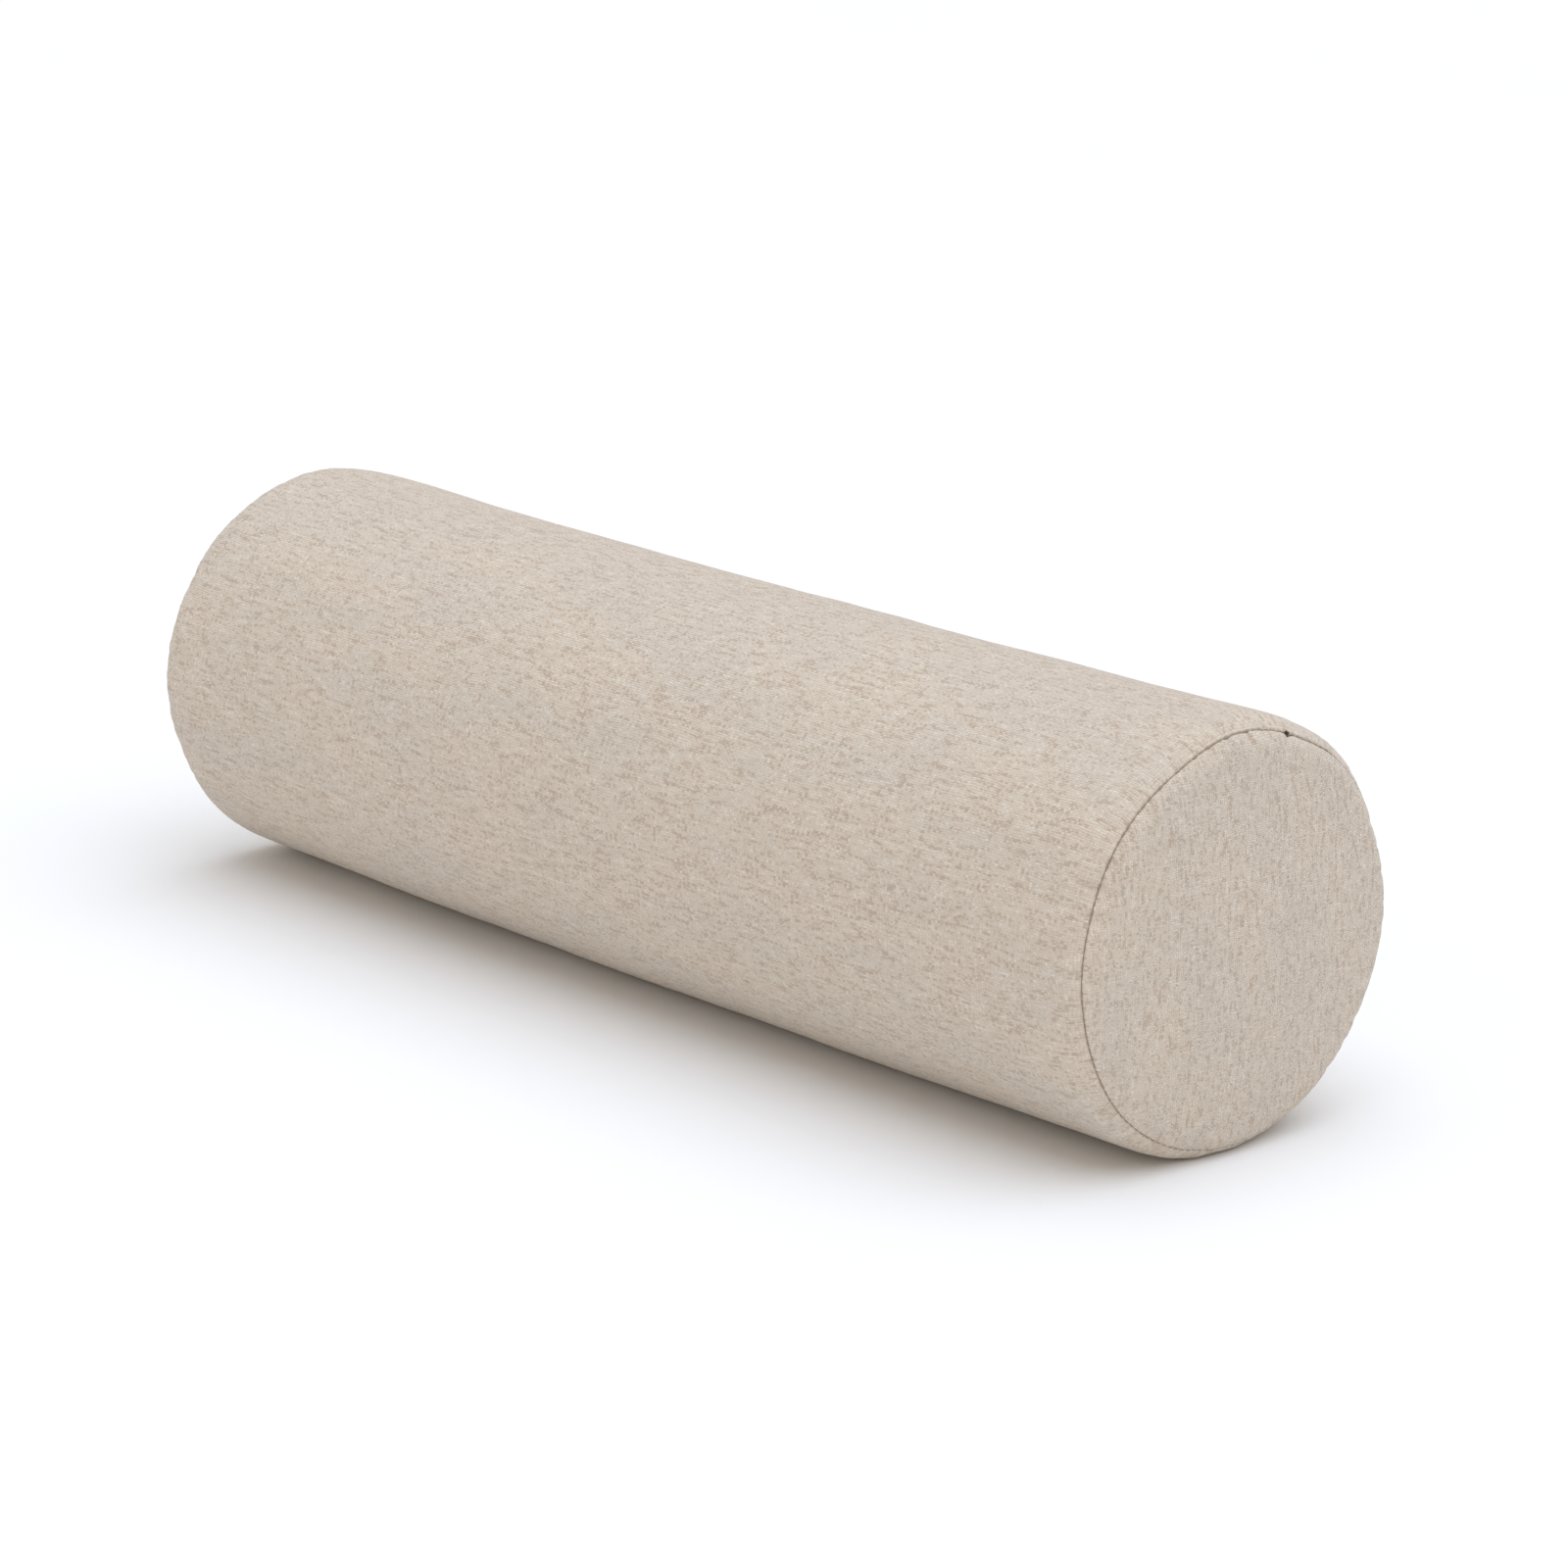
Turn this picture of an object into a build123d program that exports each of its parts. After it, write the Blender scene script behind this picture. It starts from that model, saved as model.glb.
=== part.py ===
from build123d import *
from math import asin, degrees, sqrt
import os

# Round bolster pillow: a sewn fabric cover with a concealed zip, over a sewn liner, fibre padding and a
# foam core.
#
# Every piece is modelled about the bolster's own axis, which lies along X, and is lifted at the end so
# that the flat on which the bolster rests is at Z = 0. The zip is modelled on top, at +Z, and turned to
# its place at the back.

# ---- Driving dimensions, in millimetres and degrees ----
COVER_RADIUS = 75.0
SEAM_SPAN = 500.0  # from the seam of one end panel to the seam of the other
END_BULGE = 7.0  # how far an end panel's middle stands out past its seam
SINK = 3.0  # how far the round is flattened where it rests
FABRIC = 0.9  # thickness of the cover's cloth
LINER = 0.5  # thickness of the liner's cloth
ALLOWANCE = 9.3  # width of the seam allowances turned in at the end panels
THREAD_RADIUS = 0.2
FINE_THREAD_RADIUS = 0.15

ZIP_DROP_ANGLE = 25.0  # the zip's place at the back, below the level of the axis
ZIP_MOUTH = 400.0  # length of the slit in the cover
SLIDER_LENGTH = 8.4
PULL_LENGTH = 22.0

# ---- Cover ----
SHOULDER_LENGTH = 15.0
SHOULDER_DROP = 4.7
SEAM_RADIUS = COVER_RADIUS - SHOULDER_DROP
BEAD = FABRIC + 0.05  # radius of the fold at an end panel's edge
FOLD_GAP = 0.05  # between two layers of cloth that lie together
SIDE_END = SEAM_SPAN / 2 - BEAD - FOLD_GAP  # outer face of the side panel's turned-in edge
BEAD_X = SEAM_SPAN / 2
BEAD_R = SEAM_RADIUS - BEAD
ALLOWANCE_R = SEAM_RADIUS - ALLOWANCE
COVER_END = SEAM_SPAN / 2 + END_BULGE
AXIS_HEIGHT = COVER_RADIUS - SINK
STRAIGHT_END = SIDE_END - SHOULDER_LENGTH  # where the side panel starts to curve in

# ---- Long seam and zip, with radii measured from the bolster's axis ----
FOLD_RADIUS = 1.0  # outer radius of the fold along each long edge of the side panel
FOLD_CENTRE = COVER_RADIUS - FOLD_RADIUS
SLIT_HALF = 0.7
SEWN_HALF = 0.05
SEAM_FLAP = 14.0  # width of the allowance beside the long seam
TAPE_OUTER = 72.85
TAPE_THICKNESS = 0.5
TAPE_INNER_EDGE, TAPE_OUTER_EDGE = 1.0, 13.0
TAPE_HALF_LENGTH = 215.0
TAPE_STITCH_OFFSET = 5.0
COIL_OUTER, COIL_HEIGHT = 72.25, 1.2
COIL_INNER_EDGE, COIL_OUTER_EDGE = 0.65, 2.65
STOP_LENGTH = 2.2
STOP_GAP = 0.15
CLOSED_END = -ZIP_MOUTH / 2 + 2.5  # outer end of the two top stops
OPEN_END = ZIP_MOUTH / 2  # outer end of the bottom stop

# ---- Slider and pull ----
SLIDER_HALF_WIDTH = 4.0
SLIDER_PLATE = (69.8, 70.65)  # inner plate
SLIDER_WALL = (2.95, 71.9)  # inner face of the side walls, and their tops
NECK_HALF, NECK_LENGTH = 0.35, 4.6
SADDLE = (75.35, 76.15)  # outer plate
SADDLE_SIZE = (8.0, 4.2)
LUG_HALF, LUG_RADIUS = 0.5, 1.35
PIVOT_RADIUS_FROM_AXIS = 77.5
PIVOT_BORE, PIVOT_BAR = 0.6, 0.52
SLIDER_REST = CLOSED_END + STOP_LENGTH + 1.1 + SLIDER_LENGTH / 2
SLIDER_TRAVEL = 382.0
PULL_THICKNESS = 1.0
PULL_NARROW, PULL_WIDE = 3.0, 5.0
PULL_WINDOW = (1.5, 2.7)  # width, and length from the pivot
PULL_RECESS = 0.25
PULL_DROOP = 4.0  # the pull leans in until its tip almost lies on the cloth

# ---- Filling ----
FLAT_UNDER_ZIP = 69.5  # the liner and the filling are pressed flat here
LINER_RADIUS = 73.6
LINER_END = SIDE_END - FABRIC - 0.45
LINER_SEAM_RADIUS = 66.0
LINER_SHOULDER = 12.0
LINER_DOME_RADIUS = 59.0
LINER_BULGE = 5.5
LAYER_GAP = 0.3
PAD_RADIUS = 61.7  # end pads and core
CORE_HALF_LENGTH = SIDE_END - 11.0
CORE_EDGE = 3.0

BIG = 700.0
TO_ZIP = Rot(X=-90.0 - ZIP_DROP_ANGLE)
TO_FLOOR = Pos(0, 0, AXIS_HEIGHT)


# ---- Shapes that several pieces share ----
def spun(edges):
    """A solid of revolution about X from a closed profile of x and radius."""
    return revolve(make_face(edges), axis=Axis.X, revolution_arc=360)


def dome_arc(side, edge_x, edge_r, apex_x):
    """The arc of an end's bulge, from its edge to its apex on the axis."""
    bulge = apex_x - edge_x
    radius = (edge_r**2 + bulge**2) / (2 * bulge)
    start = 0 if side > 0 else 180
    turn = side * degrees(asin(edge_r / radius))
    return CenterArc((side * (apex_x - radius), 0), radius, start, arc_size=turn)


def shoulder_arc(side, end_x, seam_r, length, drop):
    """The quarter ellipse that carries the round side over to the end."""
    centre = (side * (end_x - length), seam_r)
    return EllipticalCenterArc(centre, length, drop, start_angle=90, arc_size=-90 * side)


def envelope(radius, end_x, seam_r, shoulder, rim_r, apex_x):
    """A filled bolster shape, closed with a bulge at each end."""
    side_line = Line((shoulder - end_x, radius), (end_x - shoulder, radius))
    edges = [side_line, Line((-apex_x, 0), (apex_x, 0))]
    for side in (-1, 1):
        edges += [
            shoulder_arc(side, end_x, seam_r, shoulder, radius - seam_r),
            Line((side * end_x, seam_r), (side * end_x, rim_r)),
            dome_arc(side, end_x, rim_r, apex_x),
        ]
    return spun(edges)


def open_envelope(radius, end_x, seam_r, shoulder):
    """The same filled shape with flat ends."""
    edges = [
        Line((shoulder - end_x, radius), (end_x - shoulder, radius)),
        Line((-end_x, 0), (end_x, 0)),
    ]
    for side in (-1, 1):
        edges += [
            shoulder_arc(side, end_x, seam_r, shoulder, radius - seam_r),
            Line((side * end_x, seam_r), (side * end_x, 0)),
        ]
    return spun(edges)


def floored(shape, inset):
    """The shape cut flat below, inset from the plane on which the bolster rests."""
    below = Box(BIG, BIG, BIG, align=(Align.CENTER, Align.CENTER, Align.MAX))
    cut = Pos(0, 0, inset - AXIS_HEIGHT) * below
    return shape - cut


def flat_under_zip(shape, distance):
    """The shape cut flat where the zip presses on it, at that distance from the axis."""
    cut = Pos(0, 0, distance) * Box(BIG, BIG, BIG, align=(Align.CENTER, Align.CENTER, Align.MIN))
    return shape - TO_ZIP * cut


def axial_rod(radius, length):
    """A cylinder along X, centred on the origin."""
    return Rot(Y=90) * Cylinder(radius, length)


def ring(radius, x, thickness_radius):
    """A round ring about X."""
    return Pos(x, 0, 0) * Rot(Y=90) * Torus(radius, thickness_radius)


def band(inner_r, outer_r, inner_edge, outer_edge, side, x_from, x_to):
    """A curved strip beside the zip's centreline, between two offsets along the round."""
    start = degrees(asin(inner_edge / outer_r))
    size = degrees(asin(outer_edge / outer_r)) - start
    first = 90 - side * start
    last = first - side * size
    inner = CenterArc((0, 0), inner_r, first, arc_size=-side * size)
    outer = CenterArc((0, 0), outer_r, first, arc_size=-side * size)
    ends = [Line(polar(inner_r, a), polar(outer_r, a)) for a in (first, last)]
    face = Plane.YZ * make_face([inner, outer, *ends])
    return Pos(x_from, 0, 0) * extrude(face, x_to - x_from, dir=(1, 0, 0))


def polar(radius, angle):
    """The point at that radius and angle in a plane."""
    point = Vector(radius, 0).rotate(Axis.Z, angle)
    return (point.X, point.Y)


# ---- Cover ----
def long_edge(side, gap_half, x_from, x_to):
    """One folded long edge of the side panel, with the allowance behind it."""
    turn = degrees(asin((gap_half + FOLD_RADIUS) / FOLD_CENTRE))
    fold = Circle(FOLD_RADIUS) - Circle(FOLD_RADIUS - FABRIC)
    fold -= Pos(side * FOLD_RADIUS, 0) * Rectangle(2 * FOLD_RADIUS, 3 * FOLD_RADIUS)
    tube = extrude(Plane.YZ * (Pos(0, FOLD_CENTRE) * fold), x_to - x_from, dir=(1, 0, 0))
    tube = Rot(X=-side * turn) * (Pos(x_from, 0, 0) * tube)
    flap_r = FOLD_CENTRE - FOLD_RADIUS
    start = gap_half + FOLD_RADIUS
    outer = flap_r + FABRIC
    return tube + band(flap_r, outer, start * outer / FOLD_CENTRE, SEAM_FLAP, side, x_from, x_to)


def edge_opening(gap_half, x_from, x_to):
    """What is cut from the round side so that the two folded edges fit between its ends."""
    edge = (gap_half + FOLD_RADIUS) * (COVER_RADIUS + 1) / FOLD_CENTRE
    strips = [band(FOLD_CENTRE - 2, COVER_RADIUS + 1, 0, edge, side, x_from, x_to) for side in (-1, 1)]
    return strips[0] + strips[1]


def cover_side_panel():
    """The sheet wrapped round the filling, curved in at both ends, its long edges folded in at the zip."""
    outer = floored(open_envelope(COVER_RADIUS, SIDE_END, SEAM_RADIUS, SHOULDER_LENGTH), 0)
    inner = open_envelope(COVER_RADIUS - FABRIC, SIDE_END - FABRIC, SEAM_RADIUS, SHOULDER_LENGTH - FABRIC)
    panel = outer - floored(inner, FABRIC) - axial_rod(ALLOWANCE_R, BIG)
    flap_end = STRAIGHT_END - 2
    zones = [
        (SEWN_HALF, -flap_end, -ZIP_MOUTH / 2),
        (SLIT_HALF, -ZIP_MOUTH / 2, ZIP_MOUTH / 2),
        (SEWN_HALF, ZIP_MOUTH / 2, flap_end),
    ]
    split = Pos(0, 0, COVER_RADIUS) * Box(BIG, 2 * SEWN_HALF, 2 * (COVER_RADIUS - ALLOWANCE_R) + 10)
    panel -= TO_ZIP * split
    for gap_half, x_from, x_to in zones:
        panel -= TO_ZIP * edge_opening(gap_half, x_from, x_to)
    for gap_half, x_from, x_to in zones:
        for side in (-1, 1):
            panel += TO_ZIP * long_edge(side, gap_half, x_from, x_to)
    return panel


def cover_end_panel(side):
    """A bulging disc whose edge is folded back behind it."""
    edges = [
        dome_arc(side, BEAD_X + BEAD, BEAD_R, COVER_END),
        CenterArc((side * BEAD_X, BEAD_R), BEAD, 0, arc_size=180),
        Line((side * (BEAD_X - BEAD), BEAD_R), (side * (BEAD_X - BEAD), ALLOWANCE_R)),
        Line((side * (BEAD_X - BEAD), ALLOWANCE_R), (side * (BEAD_X - FOLD_GAP), ALLOWANCE_R)),
        Line((side * (BEAD_X - FOLD_GAP), ALLOWANCE_R), (side * (BEAD_X - FOLD_GAP), BEAD_R)),
        CenterArc((side * BEAD_X, BEAD_R), FOLD_GAP, 0, arc_size=180),
        dome_arc(side, BEAD_X + FOLD_GAP, BEAD_R, COVER_END - FABRIC),
        Line((side * (COVER_END - FABRIC), 0), (side * COVER_END, 0)),
    ]
    return spun(edges)


def end_seam_thread(side):
    """The lockstitch thread that lies in the groove round an end panel."""
    reach = BEAD + THREAD_RADIUS + 0.02
    x = SIDE_END + THREAD_RADIUS + 0.02
    return ring(BEAD_R + sqrt(reach**2 - (BEAD_X - x) ** 2), side * x, THREAD_RADIUS)


def overlock_thread(side):
    """The band of overlock thread over the raw edges of the two allowances."""
    height, width = 0.8, BEAD_X - SIDE_END + FABRIC
    section = RectangleRounded(width, height, 0.3)
    x = SIDE_END - FABRIC + width / 2
    face = Pos(side * x, ALLOWANCE_R - FOLD_GAP - height / 2) * section
    return revolve(face, axis=Axis.X, revolution_arc=360)


def long_seam_thread():
    """Two runs of thread in the groove of the long seam, beyond each end of the zip."""
    rise = sqrt((FOLD_RADIUS + THREAD_RADIUS + 0.02) ** 2 - (FOLD_RADIUS + SEWN_HALF) ** 2)
    start, end = ZIP_MOUTH / 2 + 1, STRAIGHT_END - 2
    run = axial_rod(THREAD_RADIUS, end - start)
    runs = [Pos(side * (start + end) / 2, 0, FOLD_CENTRE + rise) * run for side in (-1, 1)]
    return TO_ZIP * (runs[0] + runs[1])


# ---- Zip ----
def zipper_tape(side):
    inner_r = TAPE_OUTER - TAPE_THICKNESS
    ends = (-TAPE_HALF_LENGTH, TAPE_HALF_LENGTH)
    strip = band(inner_r, TAPE_OUTER, TAPE_INNER_EDGE, TAPE_OUTER_EDGE, side, *ends)
    return TO_ZIP * strip


def zipper_stitching(side):
    """The row of thread that holds a tape to its allowance."""
    radius = TAPE_OUTER - TAPE_THICKNESS - THREAD_RADIUS - FOLD_GAP
    turn = degrees(asin(TAPE_STITCH_OFFSET / radius))
    row = Pos(0, 0, radius) * axial_rod(THREAD_RADIUS, 2 * TAPE_HALF_LENGTH - 20)
    return TO_ZIP * (Rot(X=-side * turn) * row)


def zipper_coil(side):
    """One row of the zip's spring coil, as a plain strip that leaves the slider's wedge room to pass."""
    x_from, x_to = CLOSED_END + STOP_LENGTH + STOP_GAP, OPEN_END - STOP_LENGTH - STOP_GAP
    inner_r = COIL_OUTER - COIL_HEIGHT
    return TO_ZIP * band(inner_r, COIL_OUTER, COIL_INNER_EDGE, COIL_OUTER_EDGE, side, x_from, x_to)


def zipper_top_stops():
    """The two clamps that stop the slider at the closed end, one on each tape."""
    inner_r, outer_r = COIL_OUTER - COIL_HEIGHT - FOLD_GAP, COIL_OUTER + FOLD_GAP
    span = (CLOSED_END, CLOSED_END + STOP_LENGTH)
    edges = (COIL_INNER_EDGE, COIL_OUTER_EDGE + 0.25)
    clamps = [band(inner_r, outer_r, *edges, side, *span) for side in (-1, 1)]
    return TO_ZIP * (clamps[0] + clamps[1])


def zipper_bottom_stop():
    """The clamp across both rows at the open end."""
    inner_r, outer_r = COIL_OUTER - COIL_HEIGHT - FOLD_GAP, COIL_OUTER + FOLD_GAP
    span = (OPEN_END - STOP_LENGTH, OPEN_END)
    halves = [band(inner_r, outer_r, 0, COIL_OUTER_EDGE + 0.25, side, *span) for side in (-1, 1)]
    return TO_ZIP * (halves[0] + halves[1])


def standing_box(length, width, low, high):
    """A box centred on the slider, between two distances from the bolster's axis."""
    return Pos(0, 0, (low + high) / 2) * Box(length, width, high - low)


def zipper_slider():
    """Inner plate and walls round the coils, a neck through the slit, and a saddle with a lug outside."""
    plate = standing_box(SLIDER_LENGTH, 2 * SLIDER_HALF_WIDTH, *SLIDER_PLATE)
    plate = fillet(plate.edges().filter_by(Axis.Z), 1.6)
    walls = standing_box(SLIDER_LENGTH - 3.2, 2 * SLIDER_HALF_WIDTH, SLIDER_PLATE[1], SLIDER_WALL[1])
    walls -= standing_box(SLIDER_LENGTH, 2 * SLIDER_WALL[0], SLIDER_PLATE[1], SLIDER_WALL[1])
    neck = standing_box(NECK_LENGTH, 2 * NECK_HALF, SLIDER_PLATE[1], SADDLE[0])
    neck = fillet(neck.edges().filter_by(Axis.Z), 0.25)
    saddle = standing_box(*SADDLE_SIZE, *SADDLE)
    saddle = fillet(saddle.edges().filter_by(Axis.Z), 1.9)
    saddle = fillet(saddle.edges().group_by(Axis.Z)[-1], 0.35)
    lug = Pos(0, 0, PIVOT_RADIUS_FROM_AXIS) * Rot(X=90) * Cylinder(LUG_RADIUS, 2 * LUG_HALF)
    lug += standing_box(2 * LUG_RADIUS, 2 * LUG_HALF, SADDLE[1] - 0.1, PIVOT_RADIUS_FROM_AXIS)
    bore = Pos(0, 0, PIVOT_RADIUS_FROM_AXIS) * Rot(X=90) * Cylinder(PIVOT_BORE, 4 * LUG_HALF)
    slider = plate + walls + neck + saddle + lug - bore
    return TO_ZIP * (Pos(SLIDER_REST, 0, 0) * slider)


def pull_outline(inset):
    """A teardrop from its narrow end at the pivot to its round wide end, drawn inset from its edge."""
    narrow, wide = PULL_NARROW / 2 - inset, PULL_WIDE / 2 - inset
    small = Pos(PULL_NARROW / 2 - PIVOT_BAR, 0) * Circle(narrow)
    large = Pos(PULL_LENGTH - PULL_WIDE / 2, 0) * Circle(wide)
    return make_hull((small + large).edges())


def zipper_pull_tab():
    """A teardrop plate whose cross-bar turns in the slider's lug."""
    plate = extrude(pull_outline(0), PULL_THICKNESS / 2, both=True)
    plate = fillet(plate.edges().group_by(Axis.Z)[-1] + plate.edges().group_by(Axis.Z)[0], 0.25)
    panel = pull_outline(0.8) - Rectangle(2 * (PULL_WINDOW[1] + 1.2), PULL_WIDE)
    for level in (-1, 1):
        plate -= Pos(0, 0, level * PULL_THICKNESS / 2) * extrude(panel, PULL_RECESS, both=True)
    window_width, window_end = PULL_WINDOW
    plate -= Box(2 * window_end, window_width, 2 * PULL_THICKNESS)
    arms = Box(2 * PIVOT_BAR, BIG, BIG)
    plate -= Pos(-BIG / 2, 0, 0) * Box(BIG, BIG, BIG) + arms
    bar = Rot(X=90) * Cylinder(PIVOT_BAR, PULL_NARROW)
    for side in (-1, 1):
        arm_width = (PULL_NARROW - window_width) / 2
        arm = Box(2 * PIVOT_BAR, arm_width, 2 * PIVOT_BAR, align=(Align.MIN, Align.CENTER, Align.CENTER))
        bar += Pos(0, side * (window_width + arm_width) / 2, 0) * arm
    pull = Rot(Y=PULL_DROOP) * (plate + bar)
    return TO_ZIP * (Pos(SLIDER_REST, 0, PIVOT_RADIUS_FROM_AXIS) * pull)


# ---- Liner and filling ----
def filled_liner(inset):
    """The liner's outer shape, or any layer's inside it, as a filled solid."""
    shape = envelope(
        LINER_RADIUS - inset,
        LINER_END - inset,
        LINER_SEAM_RADIUS - inset,
        LINER_SHOULDER - inset,
        LINER_DOME_RADIUS - inset,
        LINER_END + LINER_BULGE - inset,
    )
    return flat_under_zip(floored(shape, FABRIC + LAYER_GAP + inset), FLAT_UNDER_ZIP - inset)


def liner_shell():
    return filled_liner(0) - filled_liner(LINER)


def liner_side_panel(shell):
    """The liner's tube, slit along the seam at its crown."""
    slit = Pos(0, 0, COVER_RADIUS) * Box(BIG, 2 * SEWN_HALF, COVER_RADIUS)
    return shell - axial_rod(LINER_SEAM_RADIUS + FOLD_GAP, BIG) - slit


def liner_end_panel(shell, side):
    disc = Pos(side * BIG / 2, 0, 0) * axial_rod(LINER_SEAM_RADIUS - FOLD_GAP, BIG)
    return shell & disc


def liner_end_thread(side):
    x = LINER_END + FINE_THREAD_RADIUS + FOLD_GAP
    return ring(LINER_SEAM_RADIUS, side * x, FINE_THREAD_RADIUS)


def liner_seam_thread():
    radius = LINER_RADIUS + FINE_THREAD_RADIUS + FOLD_GAP
    return Pos(0, 0, radius) * axial_rod(FINE_THREAD_RADIUS, 2 * (LINER_END - LINER_SHOULDER) - 10)


def fibre_wrap(filling):
    """The quilt of fibre rolled round the core."""
    return filling - axial_rod(PAD_RADIUS + LAYER_GAP, BIG)


def fibre_end_pad(filling, side):
    """The round pad of fibre between an end of the core and the liner."""
    start = side * (CORE_HALF_LENGTH + LAYER_GAP)
    align = Align.MIN if side > 0 else Align.MAX
    reach = Pos(start, 0, 0) * Box(BIG, BIG, BIG, align=(align, Align.CENTER, Align.CENTER))
    return filling & axial_rod(PAD_RADIUS, BIG) & reach


def foam_core():
    core = axial_rod(PAD_RADIUS, 2 * CORE_HALF_LENGTH)
    return fillet(core.edges().filter_by(GeomType.CIRCLE), CORE_EDGE)


# ---- Every piece by name ----
def pieces():
    liner = liner_shell()
    filling = filled_liner(LINER + LAYER_GAP)
    made = {
        "cover_side_panel": cover_side_panel(),
        "long_seam_thread": long_seam_thread(),
        "zipper_slider": zipper_slider(),
        "zipper_pull_tab": zipper_pull_tab(),
        "zipper_top_stops": zipper_top_stops(),
        "zipper_bottom_stop": zipper_bottom_stop(),
        "liner_side_panel": liner_side_panel(liner),
        "liner_long_seam_thread": liner_seam_thread(),
        "fibre_wrap": fibre_wrap(filling),
        "foam_core": foam_core(),
    }
    for name, side in (("right", 1), ("left", -1)):
        made[f"cover_end_panel_{name}"] = cover_end_panel(side)
        made[f"end_seam_thread_{name}"] = end_seam_thread(side)
        made[f"overlock_thread_{name}"] = overlock_thread(side)
        made[f"liner_end_panel_{name}"] = liner_end_panel(liner, side)
        made[f"liner_end_thread_{name}"] = liner_end_thread(side)
        made[f"fibre_end_pad_{name}"] = fibre_end_pad(filling, side)
    for name, side in (("upper", -1), ("lower", 1)):
        made[f"zipper_tape_{name}"] = zipper_tape(side)
        made[f"zipper_coil_{name}"] = zipper_coil(side)
        made[f"zipper_stitching_{name}"] = zipper_stitching(side)
    return made


os.makedirs("parts", exist_ok=True)
for node, shape in pieces().items():
    export_step(TO_FLOOR * shape, f"parts/{node}.step")
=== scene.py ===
import math

import bmesh
import bpy
import numpy as np
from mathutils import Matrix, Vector


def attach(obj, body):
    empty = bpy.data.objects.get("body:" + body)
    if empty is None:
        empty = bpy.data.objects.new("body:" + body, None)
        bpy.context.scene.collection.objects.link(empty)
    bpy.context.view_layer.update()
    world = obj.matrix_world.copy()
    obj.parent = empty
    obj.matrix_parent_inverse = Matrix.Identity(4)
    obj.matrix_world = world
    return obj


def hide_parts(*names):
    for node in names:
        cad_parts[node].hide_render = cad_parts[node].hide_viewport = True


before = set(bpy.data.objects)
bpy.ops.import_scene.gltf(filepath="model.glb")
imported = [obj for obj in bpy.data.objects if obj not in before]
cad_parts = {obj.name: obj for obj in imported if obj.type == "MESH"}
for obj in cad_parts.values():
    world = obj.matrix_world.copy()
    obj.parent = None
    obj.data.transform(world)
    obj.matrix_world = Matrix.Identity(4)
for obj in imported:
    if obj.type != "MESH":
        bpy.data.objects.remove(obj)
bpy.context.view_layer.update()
MM = 0.001

# ---- Sizes in millimetres, the same as the CAD's ----
RADIUS = 75.0
AXIS_Z = 72.0
SEAM_X = 250.0
SEAM_R = 70.3
CLOTH = 0.9
LINER_CLOTH = 0.5
SHOULDER_R = 16.05  # radius of the curve that carries the side over to the end seam
SEAM_TILT = math.radians(45)  # how far the surface has turned at the end seam
SHOULDER_X, SHOULDER_AXIS_R = SEAM_X - SHOULDER_R * math.sin(SEAM_TILT), RADIUS - SHOULDER_R
RIM_R = 12.0  # radius of the end panel's rounded rim
RIM_TILT = math.radians(82.6)
RIM_X, RIM_AXIS_R = SEAM_X - RIM_R * math.sin(SEAM_TILT), SEAM_R - RIM_R * math.cos(SEAM_TILT)
BEAD = 0.95  # radius of each panel's turn into the end seam
BEAD_GAP = 0.13  # left between the two panels' turns, for the thread
ALLOWANCE_R = 61.5  # the raw edges inside an end seam
ZIP_ANGLE = math.radians(-25)  # from +Y towards +Z
ZIP_END = 200.0  # the mouth's end, either way from the middle
FOLD = 1.0  # radius of each fold beside the zip
FLAP = 14.0  # how far the folded cloth runs on inside
SLIT_HALF, SEWN_HALF = 0.45, 0.05  # half the gap between the folds, at the zip and where they are sewn shut
FLAP_END = 233.0  # where the folded cloth is trimmed, short of the end seams
STITCH = 3.0
SEAM_STITCHES = round(2 * math.pi * SEAM_R / STITCH)

# ---- How the stuffed cover differs from its plain outline, in millimetres ----
COLUMNS = 500  # of the cover's grids, round the bolster
FACETS_RIGHT, FACETS_LEFT = 0.42, 0.16  # unevenness of the outline near each end
GATHER_SIZE = 0.4  # share of the simulated gathers that is used
SAG_AT_MIDDLE = 1.0
RISE_AT_RIGHT, RISE_AT_LEFT = 0.6, 1.1
RIGHT_SEED, LEFT_SEED = 31, 57  # of the stitches' unevenness on each end seam
GATHER_ANGLE = math.radians(72)  # where the end seam starts and finishes, with one open pucker


# ---- Smooth seeded variation ----
def ripple(theta, low, high, seed, count=28):
    """Smooth noise round the bolster, of about unit spread, with that many waves in a turn."""
    rng = np.random.default_rng(seed)
    waves = rng.integers(low, high + 1, count)
    phase, size = rng.uniform(0, 2 * np.pi, count), rng.normal(size=count)
    total = sum(a * np.cos(k * theta + p) for k, p, a in zip(waves, phase, size))
    return total / math.sqrt(0.5 * float((size**2).sum()))


def swell(x, theta, length, waves, seed, count=36):
    """Smooth noise over the side, of about unit spread, with features of about that length in millimetres."""
    rng = np.random.default_rng(seed)
    round_waves = rng.integers(0, waves + 1, count)
    along = rng.uniform(-1, 1, count) * 2 * np.pi / length
    phase, size = rng.uniform(0, 2 * np.pi, count), rng.normal(size=count)
    terms = zip(round_waves, along, phase, size)
    total = sum(a * np.cos(k * theta + w * x + p) for k, w, p, a in terms)
    return total / math.sqrt(0.5 * float((size**2).sum()))


def smooth(low, high, value):
    """From 0 at low to 1 at high, level at both ends."""
    t = np.clip((value - low) / (high - low), 0, 1)
    return t * t * (3 - 2 * t)


def angle_from(theta, centre):
    """How far round the bolster theta is from centre, from 0 to pi."""
    return np.abs((theta - centre + np.pi) % (2 * np.pi) - np.pi)


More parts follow.
